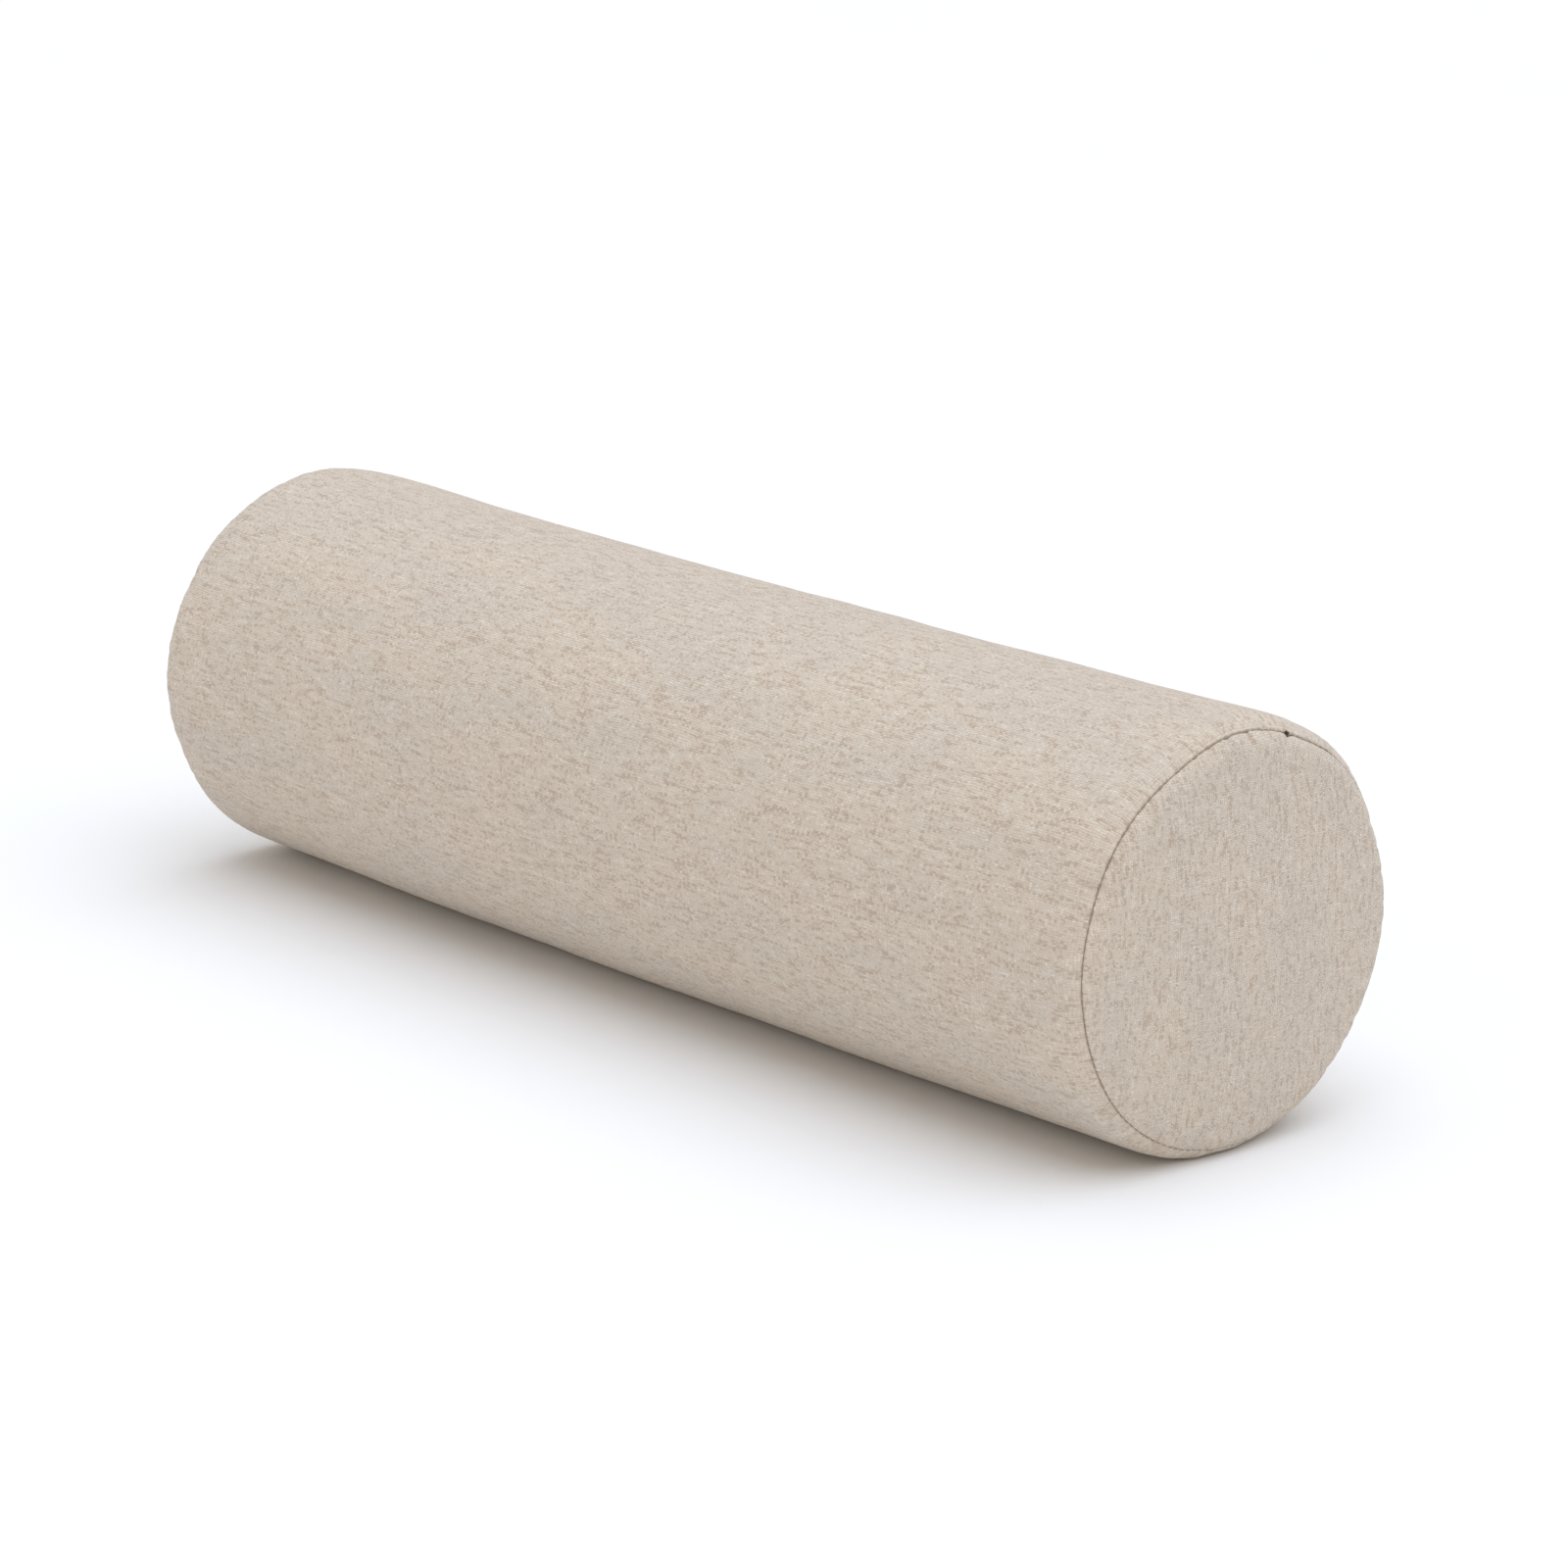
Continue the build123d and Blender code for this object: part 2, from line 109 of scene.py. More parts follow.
# ---- Meshes ----
def grid_normals(points, wrap):
    """Unit normals of a grid of points whose rows run along the bolster and columns round it."""
    along = np.gradient(points, axis=0)
    if wrap:
        round_ = np.roll(points, -1, axis=1) - np.roll(points, 1, axis=1)
    else:
        round_ = np.gradient(points, axis=1)
    normal = np.cross(round_, along)
    length = np.linalg.norm(normal, axis=2, keepdims=True)
    return normal / np.maximum(length, 1e-9)


def mesh_object(name, vertices, faces, coords=None):
    """A smooth mesh from millimetres; coords is each vertex's place on its own flat cloth."""
    mesh = bpy.data.meshes.new(name)
    mesh.from_pydata([tuple(v) for v in (np.asarray(vertices, float) * MM)], [], faces)
    mesh.validate()
    mesh.polygons.foreach_set("use_smooth", [True] * len(mesh.polygons))
    if coords is not None:
        layer = mesh.attributes.new("cloth", "FLOAT_VECTOR", "POINT")
        layer.data.foreach_set("vector", (np.asarray(coords, np.float32) * MM).ravel())
    mesh.update()
    obj = bpy.data.objects.new(name, mesh)
    bpy.context.scene.collection.objects.link(obj)
    return obj


def grid_faces(rows, columns, wrap, start=0, flip=False, keep=None):
    """Quads between a grid's vertices, closed round the columns if it wraps."""
    faces = []
    for i in range(rows - 1):
        for j in range(columns if wrap else columns - 1):
            if keep is not None and not keep(i, j):
                continue
            k = (j + 1) % columns
            quad = (i * columns + j, i * columns + k, (i + 1) * columns + k, (i + 1) * columns + j)
            faces.append(tuple(start + v for v in (quad[::-1] if flip else quad)))
    return faces


def between(name, points, back, coords, wrap, keep=None):
    """A closed piece between a grid of points on its face and a matching grid behind it."""
    rows, columns, _ = points.shape
    count = rows * columns
    faces = grid_faces(rows, columns, wrap, 0, False, keep)
    faces += grid_faces(rows, columns, wrap, count, True, keep)
    used = set()
    for face in faces[: len(faces) // 2]:
        used.update(zip(face, face[1:] + face[:1]))
    rim = [(b, a, a + count, b + count) for a, b in used if (b, a) not in used]
    vertices = np.concatenate([points.reshape(-1, 3), back.reshape(-1, 3)])
    obj = mesh_object(name, vertices, faces + sorted(rim), np.concatenate([coords.reshape(-1, 3)] * 2))
    tidy(obj)
    return obj


def cloth_sheet(name, points, coords, wrap, thickness, keep=None):
    """A sheet of cloth of that thickness behind a grid of points on its face."""
    return between(name, points, points - thickness * grid_normals(points, wrap), coords, wrap, keep)


def tube(name, path, radius, outward, closed, sides=8):
    """A thread along a path, round in section; outward gives a direction across it at every point."""
    if closed:
        along = np.roll(path, -1, axis=0) - np.roll(path, 1, axis=0)
    else:
        along = np.gradient(path, axis=0)
    along /= np.linalg.norm(along, axis=1, keepdims=True)
    across = np.cross(along, outward)
    across /= np.linalg.norm(across, axis=1, keepdims=True)
    other = np.cross(across, along)
    angle = full_turn(sides)
    ring = np.cos(angle)[None, :, None] * across[:, None] + np.sin(angle)[None, :, None] * other[:, None]
    points = path[:, None] + np.broadcast_to(radius, len(path))[:, None, None] * ring
    rows = len(path)
    vertices, faces = points.reshape(-1, 3), grid_faces(rows, sides, True)
    if closed:
        last = (rows - 1) * sides
        faces += [(last + j, last + (j + 1) % sides, (j + 1) % sides, j) for j in range(sides)]
    else:
        faces += [tuple(range(sides))[::-1], tuple((rows - 1) * sides + j for j in range(sides))]
    obj = mesh_object(name, vertices, faces)
    tidy(obj)
    return obj


def tidy(obj):
    """Drops loose vertices and turns every face outwards."""
    work = bmesh.new()
    work.from_mesh(obj.data)
    bmesh.ops.delete(work, geom=[v for v in work.verts if not v.link_faces], context="VERTS")
    bmesh.ops.recalc_face_normals(work, faces=work.faces)
    work.to_mesh(obj.data)
    work.free()


def full_turn(count):
    return np.linspace(0, 2 * np.pi, count, endpoint=False)


def heading(x, radius, theta):
    """Directions from their parts along the bolster and away from its axis."""
    return placed(x, radius, theta) - [0, 0, AXIS_Z]


def stitched(along, stitch):
    """1 where a thread goes through the cloth and 0 over most of each stitch between."""
    return np.abs(np.cos(np.pi * along / stitch)) ** 6


def on_cloth(along, across):
    """Places on a piece's own flat cloth, for its weave."""
    return np.stack(np.broadcast_arrays(along, across, 0.0), axis=-1)


def of_end(name, side):
    return f"{name}_right" if side > 0 else f"{name}_left"


def of_half(name, side):
    return f"{name}_upper" if side > 0 else f"{name}_lower"


def placed(x, radius, theta):
    """Points from their place along the bolster, distance from its axis and angle, broadcast together."""
    x, radius, theta = np.broadcast_arrays(x, radius, theta)
    return np.stack([x, radius * np.cos(theta), AXIS_Z + radius * np.sin(theta)], axis=-1)


# ---- Outline of the cover ----
def turn_in(x, r, tilt, towards):
    """The quarter turn of a panel into the seam, from a point on its surface with that tilt."""
    normal = np.array([math.sin(tilt), math.cos(tilt)])
    along = np.array([math.cos(tilt), -math.sin(tilt)]) * towards
    start = np.array([x, r])
    steps = np.linspace(0, np.pi / 2, 8)[1:]
    return [start - BEAD * normal + BEAD * (math.cos(a) * normal + math.sin(a) * along) for a in steps]


def side_outline():
    """Rows of the side panel from its middle to its right raw edge: (x, radius, 1 once past its face)."""
    rows = [(x, RADIUS, 0.0) for x in np.linspace(0, SHOULDER_X, 44)[:-1]]
    end_tilt = SEAM_TILT - (BEAD + BEAD_GAP) / SHOULDER_R
    for tilt in np.linspace(0, end_tilt, 15):
        x, r = SHOULDER_X + SHOULDER_R * math.sin(tilt), SHOULDER_AXIS_R + SHOULDER_R * math.cos(tilt)
        rows.append((x, r, 0.0))
    bead = turn_in(rows[-1][0], rows[-1][1], end_tilt, 1)
    rows += [(p[0], p[1], 1.0) for p in bead]
    x, r = bead[-1]
    rows += [(x - 0.25, r - 0.5, 1.0), (x - 0.42, r - 1.2, 1.0)]
    rows += [(x - 0.46, r - 1.2 - d, 1.0) for d in (1.6, 3.6, r - 1.2 - ALLOWANCE_R)]
    return np.array(rows)


def end_outline():
    """The same for an end panel, from its middle out to its raw edge."""
    edge_x, edge_r = RIM_X + RIM_R * math.sin(RIM_TILT), RIM_AXIS_R + RIM_R * math.cos(RIM_TILT)
    dome_r = edge_r / math.cos(RIM_TILT)
    rows = []
    for tilt in np.linspace(math.pi / 2, RIM_TILT, 26)[:-1]:
        rows.append((edge_x + dome_r * (math.sin(tilt) - math.sin(RIM_TILT)), dome_r * math.cos(tilt), 0.0))
    start_tilt = SEAM_TILT + (BEAD + BEAD_GAP) / RIM_R
    for tilt in np.linspace(RIM_TILT, start_tilt, 13):
        rows.append((RIM_X + RIM_R * math.sin(tilt), RIM_AXIS_R + RIM_R * math.cos(tilt), 0.0))
    bead = turn_in(rows[-1][0], rows[-1][1], start_tilt, -1)
    rows += [(p[0], p[1], 1.0) for p in bead]
    x, r = bead[-1]
    rows += [(x - 0.22, r - 0.5, 1.0), (x - 0.36, r - 1.2, 1.0)]
    rows += [(x - 0.36, r - 1.2 - d, 1.0) for d in (1.6, 3.6, r - 1.2 - ALLOWANCE_R)]
    return np.array(rows)


# ---- How the filled cover departs from its plain outline ----
def settled(points):
    """Moves points of any soft layer, in millimetres, to where the stuffed bolster really lies."""
    x, y, z = points[..., 0], points[..., 1], points[..., 2] - AXIS_Z
    r = np.hypot(y, z)
    theta = np.arctan2(z, y)
    away = smooth(math.radians(14), math.radians(50), angle_from(theta, ZIP_ANGLE))
    to_end = np.hypot(np.abs(x) - SEAM_X, np.maximum(SEAM_R - r, 0))
    end = np.where(x > 0, 1.0, -1.0)
    unit = np.stack([np.zeros_like(y), y / np.maximum(r, 1e-6), z / np.maximum(r, 1e-6)], axis=-1)
    rim = np.exp(-((to_end / 34.0) ** 2)) * smooth(30, 64, r)
    facets = np.where(x > 0, FACETS_RIGHT * ripple(theta, 4, 9, 11), FACETS_LEFT * ripple(theta, 4, 9, 12))
    radial = away * (rim * facets + 0.16 * swell(x, theta, 90.0, 7, 5) + 0.05 * swell(x, theta, 26.0, 18, 6))
    moved = points + (radial * smooth(8, 30, r))[..., None] * unit
    bulge = np.where(x > 0, ripple(theta, 2, 6, 21), ripple(theta, 2, 6, 22))
    moved[..., 0] += end * 0.3 * bulge * rim
    rise = np.where(x > 0, RISE_AT_RIGHT, RISE_AT_LEFT)
    sag = rise - (rise + SAG_AT_MIDDLE) * (1 - (x / 235.0) ** 2)
    held = smooth(math.radians(30), math.radians(75), angle_from(theta, ZIP_ANGLE))
    moved[..., 2] += (1 + (held - 1) * smooth(20, 60, r)) * sag * smooth(0, 20, r)
    return moved


def floored(points, inset=0.0):
    """Flattened where the bolster rests."""
    z = points[..., 2] - inset
    width = 0.8
    points[..., 2] = inset + 0.5 * (z + np.sqrt(z * z + width * width)) - 0.02
    return points


def between_samples(values, place, wrap):
    """Values at fractional places along the first axis, on a smooth curve through the samples."""
    base = np.floor(place).astype(int)
    t = (place - base).reshape((-1,) + (1,) * (values.ndim - 1))
    size = len(values)
    index = [(base + step) % size if wrap else np.clip(base + step, 0, size - 1) for step in (-1, 0, 1, 2)]
    a, b, c, d = (values[i] for i in index)
    return b + 0.5 * t * (c - a + t * (2 * a - 5 * b + 4 * c - d + t * (3 * (b - c) + d - a)))


class Puckers:
    """How the cover gathers beside its end seams, from a cloth simulation of it sewn and filled."""

    columns = 220
    frames = 16

    def __init__(self):
        half, self.seam = self.rows()
        outline = np.concatenate([half[::-1] * [-1, 1], half[1:]])
        steps = np.hypot(np.diff(outline[:, 0]), np.diff(outline[:, 1]))
        self.middle = len(half) - 1
        arc = np.concatenate([[0], np.cumsum(steps)])
        self.arc = arc - arc[self.middle]
        self.shift = np.zeros((len(outline), self.columns))
        self.shift = self.gathered(outline, self.simulate(outline))

    @staticmethod
    def rows():
        """(x, radius) from the middle of the side to near the middle of the right end, and the seam's row."""
        along = (0, 12, 24, 36, 48, 60, 72, 84, 96, 108, 120, 132, 144, 156, 168)
        near = (178, 187, 195, 202, 208, 213, 218, 222, 226, 229, 232, 235)
        rows = [(x, RADIUS) for x in along + near]
        for tilt in np.linspace(0, SEAM_TILT, 7):
            x, r = SHOULDER_X + SHOULDER_R * math.sin(tilt), SHOULDER_AXIS_R + SHOULDER_R * math.cos(tilt)
            rows.append((x, r))
        seam = len(rows) - 1
        for tilt in np.linspace(SEAM_TILT, RIM_TILT, 6)[1:]:
            rows.append((RIM_X + RIM_R * math.sin(tilt), RIM_AXIS_R + RIM_R * math.cos(tilt)))
        edge_x, edge_r = rows[-1]
        dome = edge_r / math.cos(RIM_TILT)
        for r in (60, 56, 51, 45, 38, 30, 21, 11):
            rows.append((edge_x + math.sqrt(dome**2 - r**2) - math.sqrt(dome**2 - edge_r**2), r))
        return np.array(rows), seam

    def simulate(self, outline):
        """Where the cloth lies once its seams have drawn in and the filling presses out, in millimetres."""
        count, columns = len(outline), self.columns
        theta = full_turn(columns)
        rest = placed(outline[:, :1], outline[:, 1:], theta[None, :])
        self.theta, self.rest = theta, rest
        uneven = 0.02 * np.random.default_rng(3).normal(size=(count, columns))
        radial = heading(0.0, 1.0, theta)[None]
        start = rest + uneven[..., None] * radial
        caps = [[outline[0, 0] - 0.2, 0, AXIS_Z], [outline[-1, 0] + 0.2, 0, AXIS_Z]]
        faces = grid_faces(count, columns, True)
        first, last = count * columns, (count - 1) * columns
        for j in range(columns):
            k = (j + 1) % columns
            faces += [(first, k, j), (first + 1, last + j, last + k)]
        cover = mesh_object("cover_simulated", np.concatenate([start.reshape(-1, 3), caps]), faces)
        tidy(cover)
        drawn = cover.vertex_groups.new(name="drawn")
        for row in (self.middle - self.seam, self.middle + self.seam):
            for off, weight in ((0, 1.0), (1, 0.6), (-1, 0.6), (2, 0.2), (-2, 0.2)):
                drawn.add([(row + off) * columns + j for j in range(columns)], weight, "REPLACE")
        held = cover.vertex_groups.new(name="held")
        at_zip = np.nonzero(angle_from(theta, ZIP_ANGLE) < math.radians(6))[0]
        for i in np.nonzero(np.abs(outline[:, 0]) < 236)[0]:
            held.add([int(i * columns + j) for j in at_zip], 1.0, "REPLACE")
        modifier = cover.modifiers.new("cloth", "CLOTH")
        cloth_settings = modifier.settings
        for key, value in (
            ("quality", 6), ("mass", 0.3), ("tension_stiffness", 25), ("compression_stiffness", 25),
            ("shear_stiffness", 10), ("bending_stiffness", 0.5), ("tension_damping", 8),
            ("compression_damping", 8), ("shear_damping", 8), ("bending_damping", 2), ("air_damping", 3),
            ("use_pressure", True), ("uniform_pressure_force", 4), ("vertex_group_shrink", "drawn"),
            ("shrink_min", 0.0), ("shrink_max", 0.03), ("vertex_group_mass", "held"),
        ):
            setattr(cloth_settings, key, value)
        cloth_settings.effector_weights.gravity = 0
        modifier.collision_settings.use_collision = False
        modifier.point_cache.frame_start, modifier.point_cache.frame_end = 1, self.frames
        scene = bpy.context.scene
        scene.frame_start, scene.frame_end = 1, self.frames
        for number in range(1, self.frames + 1):
            scene.frame_set(number)
        final = cover.evaluated_get(bpy.context.evaluated_depsgraph_get())
        found = np.zeros(len(final.data.vertices) * 3, np.float32)
        final.data.vertices.foreach_get("co", found)
        found = found.reshape(-1, 3)[: count * columns].reshape(count, columns, 3) / MM
        bpy.data.objects.remove(cover)
        scene.frame_set(1)
        return found

    def gathered(self, outline, found):
        """The simulated gathers alone, square to the surface: the cover's plain shape stays as it is."""
        slope = np.gradient(outline, axis=0)
        slope /= np.linalg.norm(slope, axis=1, keepdims=True)
        moved = found - self.rest
        outward = moved[..., 1] * np.cos(self.theta) + moved[..., 2] * np.sin(self.theta)
        square = moved[..., 0] * -slope[:, 1:2] + outward * slope[:, :1]
        waves = np.fft.rfft(square, axis=1)
        number = np.arange(waves.shape[1])
        waves *= smooth(5, 11, number)
        square = np.fft.irfft(waves, self.columns, axis=1)
        reach = np.abs(np.abs(self.arc) - self.arc[self.middle + self.seam])
        square *= (GATHER_SIZE * np.exp(-((reach / 20.0) ** 2)))[:, None]
        square *= smooth(math.radians(8), math.radians(24), angle_from(self.theta, ZIP_ANGLE))
        return np.clip(square, -1.1, 0.7)

    def at(self, arc, theta):
        """How far the cloth stands out at those distances over the surface and those angles."""
        row = np.interp(arc, self.arc, np.arange(len(self.arc)))
        by_row = between_samples(self.shift, row, False)
        column = (theta % (2 * np.pi)) / (2 * np.pi) * self.columns
        return np.stack([between_samples(by_row[i], column[i], True) for i in range(len(arc))])


def seam_depth(theta, seed):
    """How deep the stitches draw the cloth into an end seam at each angle."""
    dimple = 0.5 + 0.5 * np.cos(2 * np.pi * theta / (STITCH / SEAM_R))
    uneven = 1 + 0.5 * ripple(theta, 15, 60, seed + 1)
    return 0.20 + 0.035 * ripple(theta, 20, 50, seed) + 0.11 * dimple**3 * uneven


def short_gathers(theta, seed, side):
    """Where short creases run off an end seam, and how deep they are."""
    after = smooth(math.radians(62), math.radians(80), theta)
    start = after * (1 - smooth(math.radians(135), math.radians(190), theta))
    here = 0.10 + (0.45 * start if side > 0 else 0.0)
    return here * np.maximum(ripple(theta, 38, 62, seed + 2), 0)


def seam_opening(theta, distance):
    """How far each panel stands back from the right-hand seam, which is slack just before it closes."""
    hole = 1.25 * np.exp(-(((theta - GATHER_ANGLE) * SEAM_R / 1.5) ** 2))
    loose = 0.24 * smooth(math.radians(50), math.radians(56), theta)
    slack = loose * (1 - smooth(math.radians(71), math.radians(73), theta))
    return (hole + slack) * np.exp(-((distance / 2.5) ** 2))


def drawn_in(sheet, normals, distance, theta, arc, side, last_row, away):
    """The sheet with its simulated gathers, the stitches' dimples and the short creases beside the seam."""
    seed = RIGHT_SEED if side > 0 else LEFT_SEED
    turn = theta % (2 * np.pi)
    inward = seam_depth(theta, seed) * np.exp(-distance / 1.3)
    inward = inward + short_gathers(turn, seed, side) * np.exp(-(((distance - 2.5) / 6.0) ** 2))
    inward = inward - 0.22 * np.exp(-(((distance - 5.0) / 2.6) ** 2))
    inward = inward + 0.12 * np.exp(-(((distance - 11.5) / 3.0) ** 2))
    shift = (PUCKERS.at(arc, theta) - inward)[..., None] * normals
    if side > 0:
        shift = shift + seam_opening(turn, distance)[..., None] * away
    shift[last_row + 1 :] = shift[last_row]
    return sheet + shift


PUCKERS = Puckers()


# ---- Materials ----
class Nodes:
    """A small helper to write a node tree from top to bottom."""

    def __init__(self, name):
        self.material = bpy.data.materials.new(name)
        self.material.use_nodes = True
        self.tree = self.material.node_tree
        self.shader = self.tree.nodes["Principled BSDF"]

    def add(self, kind, **settings):
        node = self.tree.nodes.new("ShaderNode" + kind)
        for key, value in settings.items():
            setattr(node, key, value)
        return node

    def link(self, source, target):
        if isinstance(source, (int, float, tuple)):
            target.default_value = source
        else:
            self.tree.links.new(source, target)

    def wired(self, kind, inputs, **settings):
        """A new node with each of its inputs set, or linked where it is given another node's output."""
        node = self.add(kind, **settings)
        for key, item in inputs.items():
            self.link(item, node.inputs[key])
        return node

    def math(self, operation, a, b=0.0, c=None):
        inputs = {0: a, 1: b} if c is None else {0: a, 1: b, 2: c}
        return self.wired("Math", inputs, operation=operation).outputs[0]

    def attribute(self, name):
        return self.add("Attribute", attribute_name=name).outputs["Vector"]

    def objectspace(self):
        return self.add("TexCoord").outputs["Object"]

    def scaled(self, vector, scale, shift=(0, 0, 0)):
        inputs = {"Vector": vector, "Scale": scale, "Location": shift}
        return self.wired("Mapping", inputs).outputs["Vector"]

    def noise(self, vector, scale, detail=2.0, rough=0.5, distortion=0.0):
        inputs = {"Vector": vector, "Scale": scale, "Detail": detail}
        inputs |= {"Roughness": rough, "Distortion": distortion}
        return self.wired("TexNoise", inputs).outputs["Fac"]

    def grain(self, vector, scale, detail=2.0, rough=0.5, distortion=0.0, shift=(0, 0, 0)):
        """Noise stretched by a different scale along each axis."""
        return self.noise(self.scaled(vector, scale, shift), 1.0, detail, rough, distortion)

    def either(self, over, weft, warp):
        """The weft's value where the weft is on top, and the warp's elsewhere."""
        return self.math("MULTIPLY_ADD", over, self.math("SUBTRACT", weft, warp), warp)

    def span(self, value, low, high, to_low=0.0, to_high=1.0):
        inputs = {"Value": value, "From Min": low, "From Max": high, "To Min": to_low, "To Max": to_high}
        return self.wired("MapRange", inputs, interpolation_type="SMOOTHSTEP").outputs["Result"]

    def mix(self, factor, a, b):
        inputs = {"Factor": factor, "A": a, "B": b}
        return self.wired("Mix", inputs, data_type="RGBA").outputs["Result"]

    def tinted(self, colour, towards, where, share):
        return self.mix(self.math("MULTIPLY", where, share), colour, towards)

    def bump(self, height, strength, distance):
        inputs = {"Height": height, "Strength": strength, "Distance": distance}
        return self.wired("Bump", inputs).outputs["Normal"]

    def finish(self, color, normal, roughness, **constants):
        """The finished material; each constant is set on the shader's own socket."""
        self.link(color, self.shader.inputs["Base Color"])
        self.link(roughness, self.shader.inputs["Roughness"])
        if normal is not None:
            self.link(normal, self.shader.inputs["Normal"])
        for key, value in constants.items():
            self.shader.inputs[key.replace("_", " ")].default_value = value
        return self.material


def rgb(r, g, b):
    """A linear colour, opaque."""
    return (r, g, b, 1.0)


def woven(n, place, pitch_along, pitch_round):
    """A plain weave: whether the weft is on top, each yarn's own place for noise, and the yarns' height."""
    parts = n.add("SeparateXYZ")
    n.link(place, parts.inputs[0])
    x, y = parts.outputs["X"], parts.outputs["Y"]
    u, v = n.math("DIVIDE", x, pitch_along), n.math("DIVIDE", y, pitch_round)
    warp, weft = n.math("FLOOR", u), n.math("FLOOR", v)
    warp_arch = n.math("SINE", n.math("MULTIPLY", n.math("FRACT", u), math.pi))
    weft_arch = n.math("SINE", n.math("MULTIPLY", n.math("FRACT", v), math.pi))
    over = n.math("PINGPONG", n.math("ADD", warp, weft), 1.0)
    weft_place, warp_place = n.add("CombineXYZ"), n.add("CombineXYZ")
    n.link(x, weft_place.inputs["X"])
    n.link(n.math("MULTIPLY", weft, 0.37), weft_place.inputs["Y"])
    n.link(y, warp_place.inputs["X"])
    n.link(n.math("MULTIPLY", warp, 0.41), warp_place.inputs["Y"])
    weft_height = n.math("MULTIPLY", weft_arch, n.math("MULTIPLY_ADD", warp_arch, 0.45, 0.55))
    warp_height = n.math("MULTIPLY", warp_arch, n.math("MULTIPLY_ADD", weft_arch, 0.45, 0.45))
    rest = n.math("SUBTRACT", 1.0, over)
    height = n.math("ADD", n.math("MULTIPLY", over, weft_height), n.math("MULTIPLY", rest, warp_height))
    return over, weft_place.outputs[0], warp_place.outputs[0], height


def heathered_cloth():
    """Linen-look upholstery weave of uneven heathered yarns, with slubs along the bolster."""
    n = Nodes("heathered_cloth")
    at = n.attribute("cloth")
    drift = n.wired("TexNoise", {"Vector": at, "Scale": 110.0}).outputs["Color"]
    strength = (0.0030, 0.0020, 0.0)
    wander = n.wired("VectorMath", {0: drift, 1: strength, 2: at}, operation="MULTIPLY_ADD")
    over, weft_place, warp_place, yarns = woven(n, wander.outputs["Vector"], 0.00130, 0.00090)
    weft_tone = n.grain(weft_place, (120, 5.3, 1), 3.0, 0.6)
    warp_tone = n.grain(warp_place, (330, 4.7, 1), 3.0, 0.6, 0.0, (0, 90, 0))
    slubs = n.grain(at, (95, 560, 1), 4.0, 0.62, 0.3)
    nubs = n.grain(at, (330, 540, 1), 3.0, 0.65, 0.5, (3, 8, 0))
    patches = n.grain(at, (14, 40, 1), 3.0, 0.55)
    weft_fibres = n.grain(at, (900, 6500, 1), 2.0, 0.6)
    warp_fibres = n.grain(at, (6500, 900, 1), 2.0, 0.6)
    fibres = n.either(over, weft_fibres, warp_fibres)
    yarn_tone = n.either(over, weft_tone, warp_tone)
    lumps = n.math("MULTIPLY_ADD", nubs, 0.5, n.math("MULTIPLY", slubs, 0.75))
    tone = n.math("ADD", yarn_tone, lumps)
    dark = n.span(tone, 1.13, 0.93)
    light = n.span(tone, 1.16, 1.38)
    streaks = n.math("MULTIPLY", n.span(slubs, 0.56, 0.70), n.span(patches, 0.42, 0.62))
    colour = n.mix(n.span(patches, 0.3, 0.7), rgb(0.795, 0.675, 0.550), rgb(0.765, 0.663, 0.560))
    colour = n.tinted(colour, rgb(0.560, 0.440, 0.335), dark, 0.85)
    colour = n.tinted(colour, rgb(0.900, 0.815, 0.715), light, 0.9)
    colour = n.tinted(colour, rgb(0.520, 0.405, 0.305), streaks, 0.5)
    colour = n.tinted(colour, rgb(0.500, 0.415, 0.330), n.span(fibres, 0.56, 0.36), 0.32)
    # Darker where the yarns dip between each other: painted shade in the weave's valleys, over the same
    # heights that drive the bump below.
    colour = n.mix(n.span(yarns, 0.0, 0.45, 0.36, 0.0), colour, rgb(0.470, 0.388, 0.310))
    height = n.math("MULTIPLY_ADD", fibres, 0.45, n.math("MULTIPLY_ADD", nubs, 0.7, yarns))
    normal = n.bump(height, 0.85, 0.0003)
    return n.finish(
        colour, normal, 0.92,
        Sheen_Weight=0.26, Sheen_Roughness=0.45, Sheen_Tint=rgb(0.95, 0.975, 1.0), Specular_IOR_Level=0.2,
    )


def spun_thread(name, tint):
    """Sewing thread: two plies twisted together."""
    n = Nodes(name)
    at = n.objectspace()
    inputs = {"Vector": at, "Scale": 1400.0, "Distortion": 2.0}
    twist = n.wired("TexWave", inputs, bands_direction="DIAGONAL")
    fuzz = n.noise(at, 5200.0, 2.0, 0.6)
    shade = rgb(*(0.72 * c for c in tint[:3]))
    highlight = rgb(*(min(1.2 * c, 1) for c in tint[:3]))
    colour = n.mix(n.span(twist.outputs["Fac"], 0.1, 0.9), shade, tint)
    colour = n.tinted(colour, highlight, n.span(fuzz, 0.5, 0.7), 0.25)
    normal = n.bump(n.math("ADD", twist.outputs["Fac"], fuzz), 0.6, 0.0001)
    return n.finish(colour, normal, 0.7, Sheen_Weight=0.1, Specular_IOR_Level=0.3)


def fine_cloth(name, tint, shade, pitch=0.0007):
    """Plain weave of fine even yarn."""
    n = Nodes(name)
    at = n.attribute("cloth")
    over, weft_place, warp_place, yarns = woven(n, at, pitch, 0.8 * pitch)
    weft_tone = n.grain(weft_place, (160, 5.3, 1), 2.0)
    warp_tone = n.grain(warp_place, (160, 4.7, 1), 2.0)
    tone = n.either(over, weft_tone, warp_tone)
    colour = n.mix(n.math("MULTIPLY", n.span(tone, 0.55, 0.35), 0.5), tint, shade)
    # Towards the shade colour where the yarns dip between each other: painted shade in the weave's valleys;
    # the line above is the yarns' own tone.
    colour = n.mix(n.span(yarns, 0.0, 0.5, 0.6, 0.0), colour, shade)
    normal = n.bump(yarns, 0.7, 0.00012)
    return n.finish(colour, normal, 0.88, Sheen_Weight=0.1, Specular_IOR_Level=0.25)


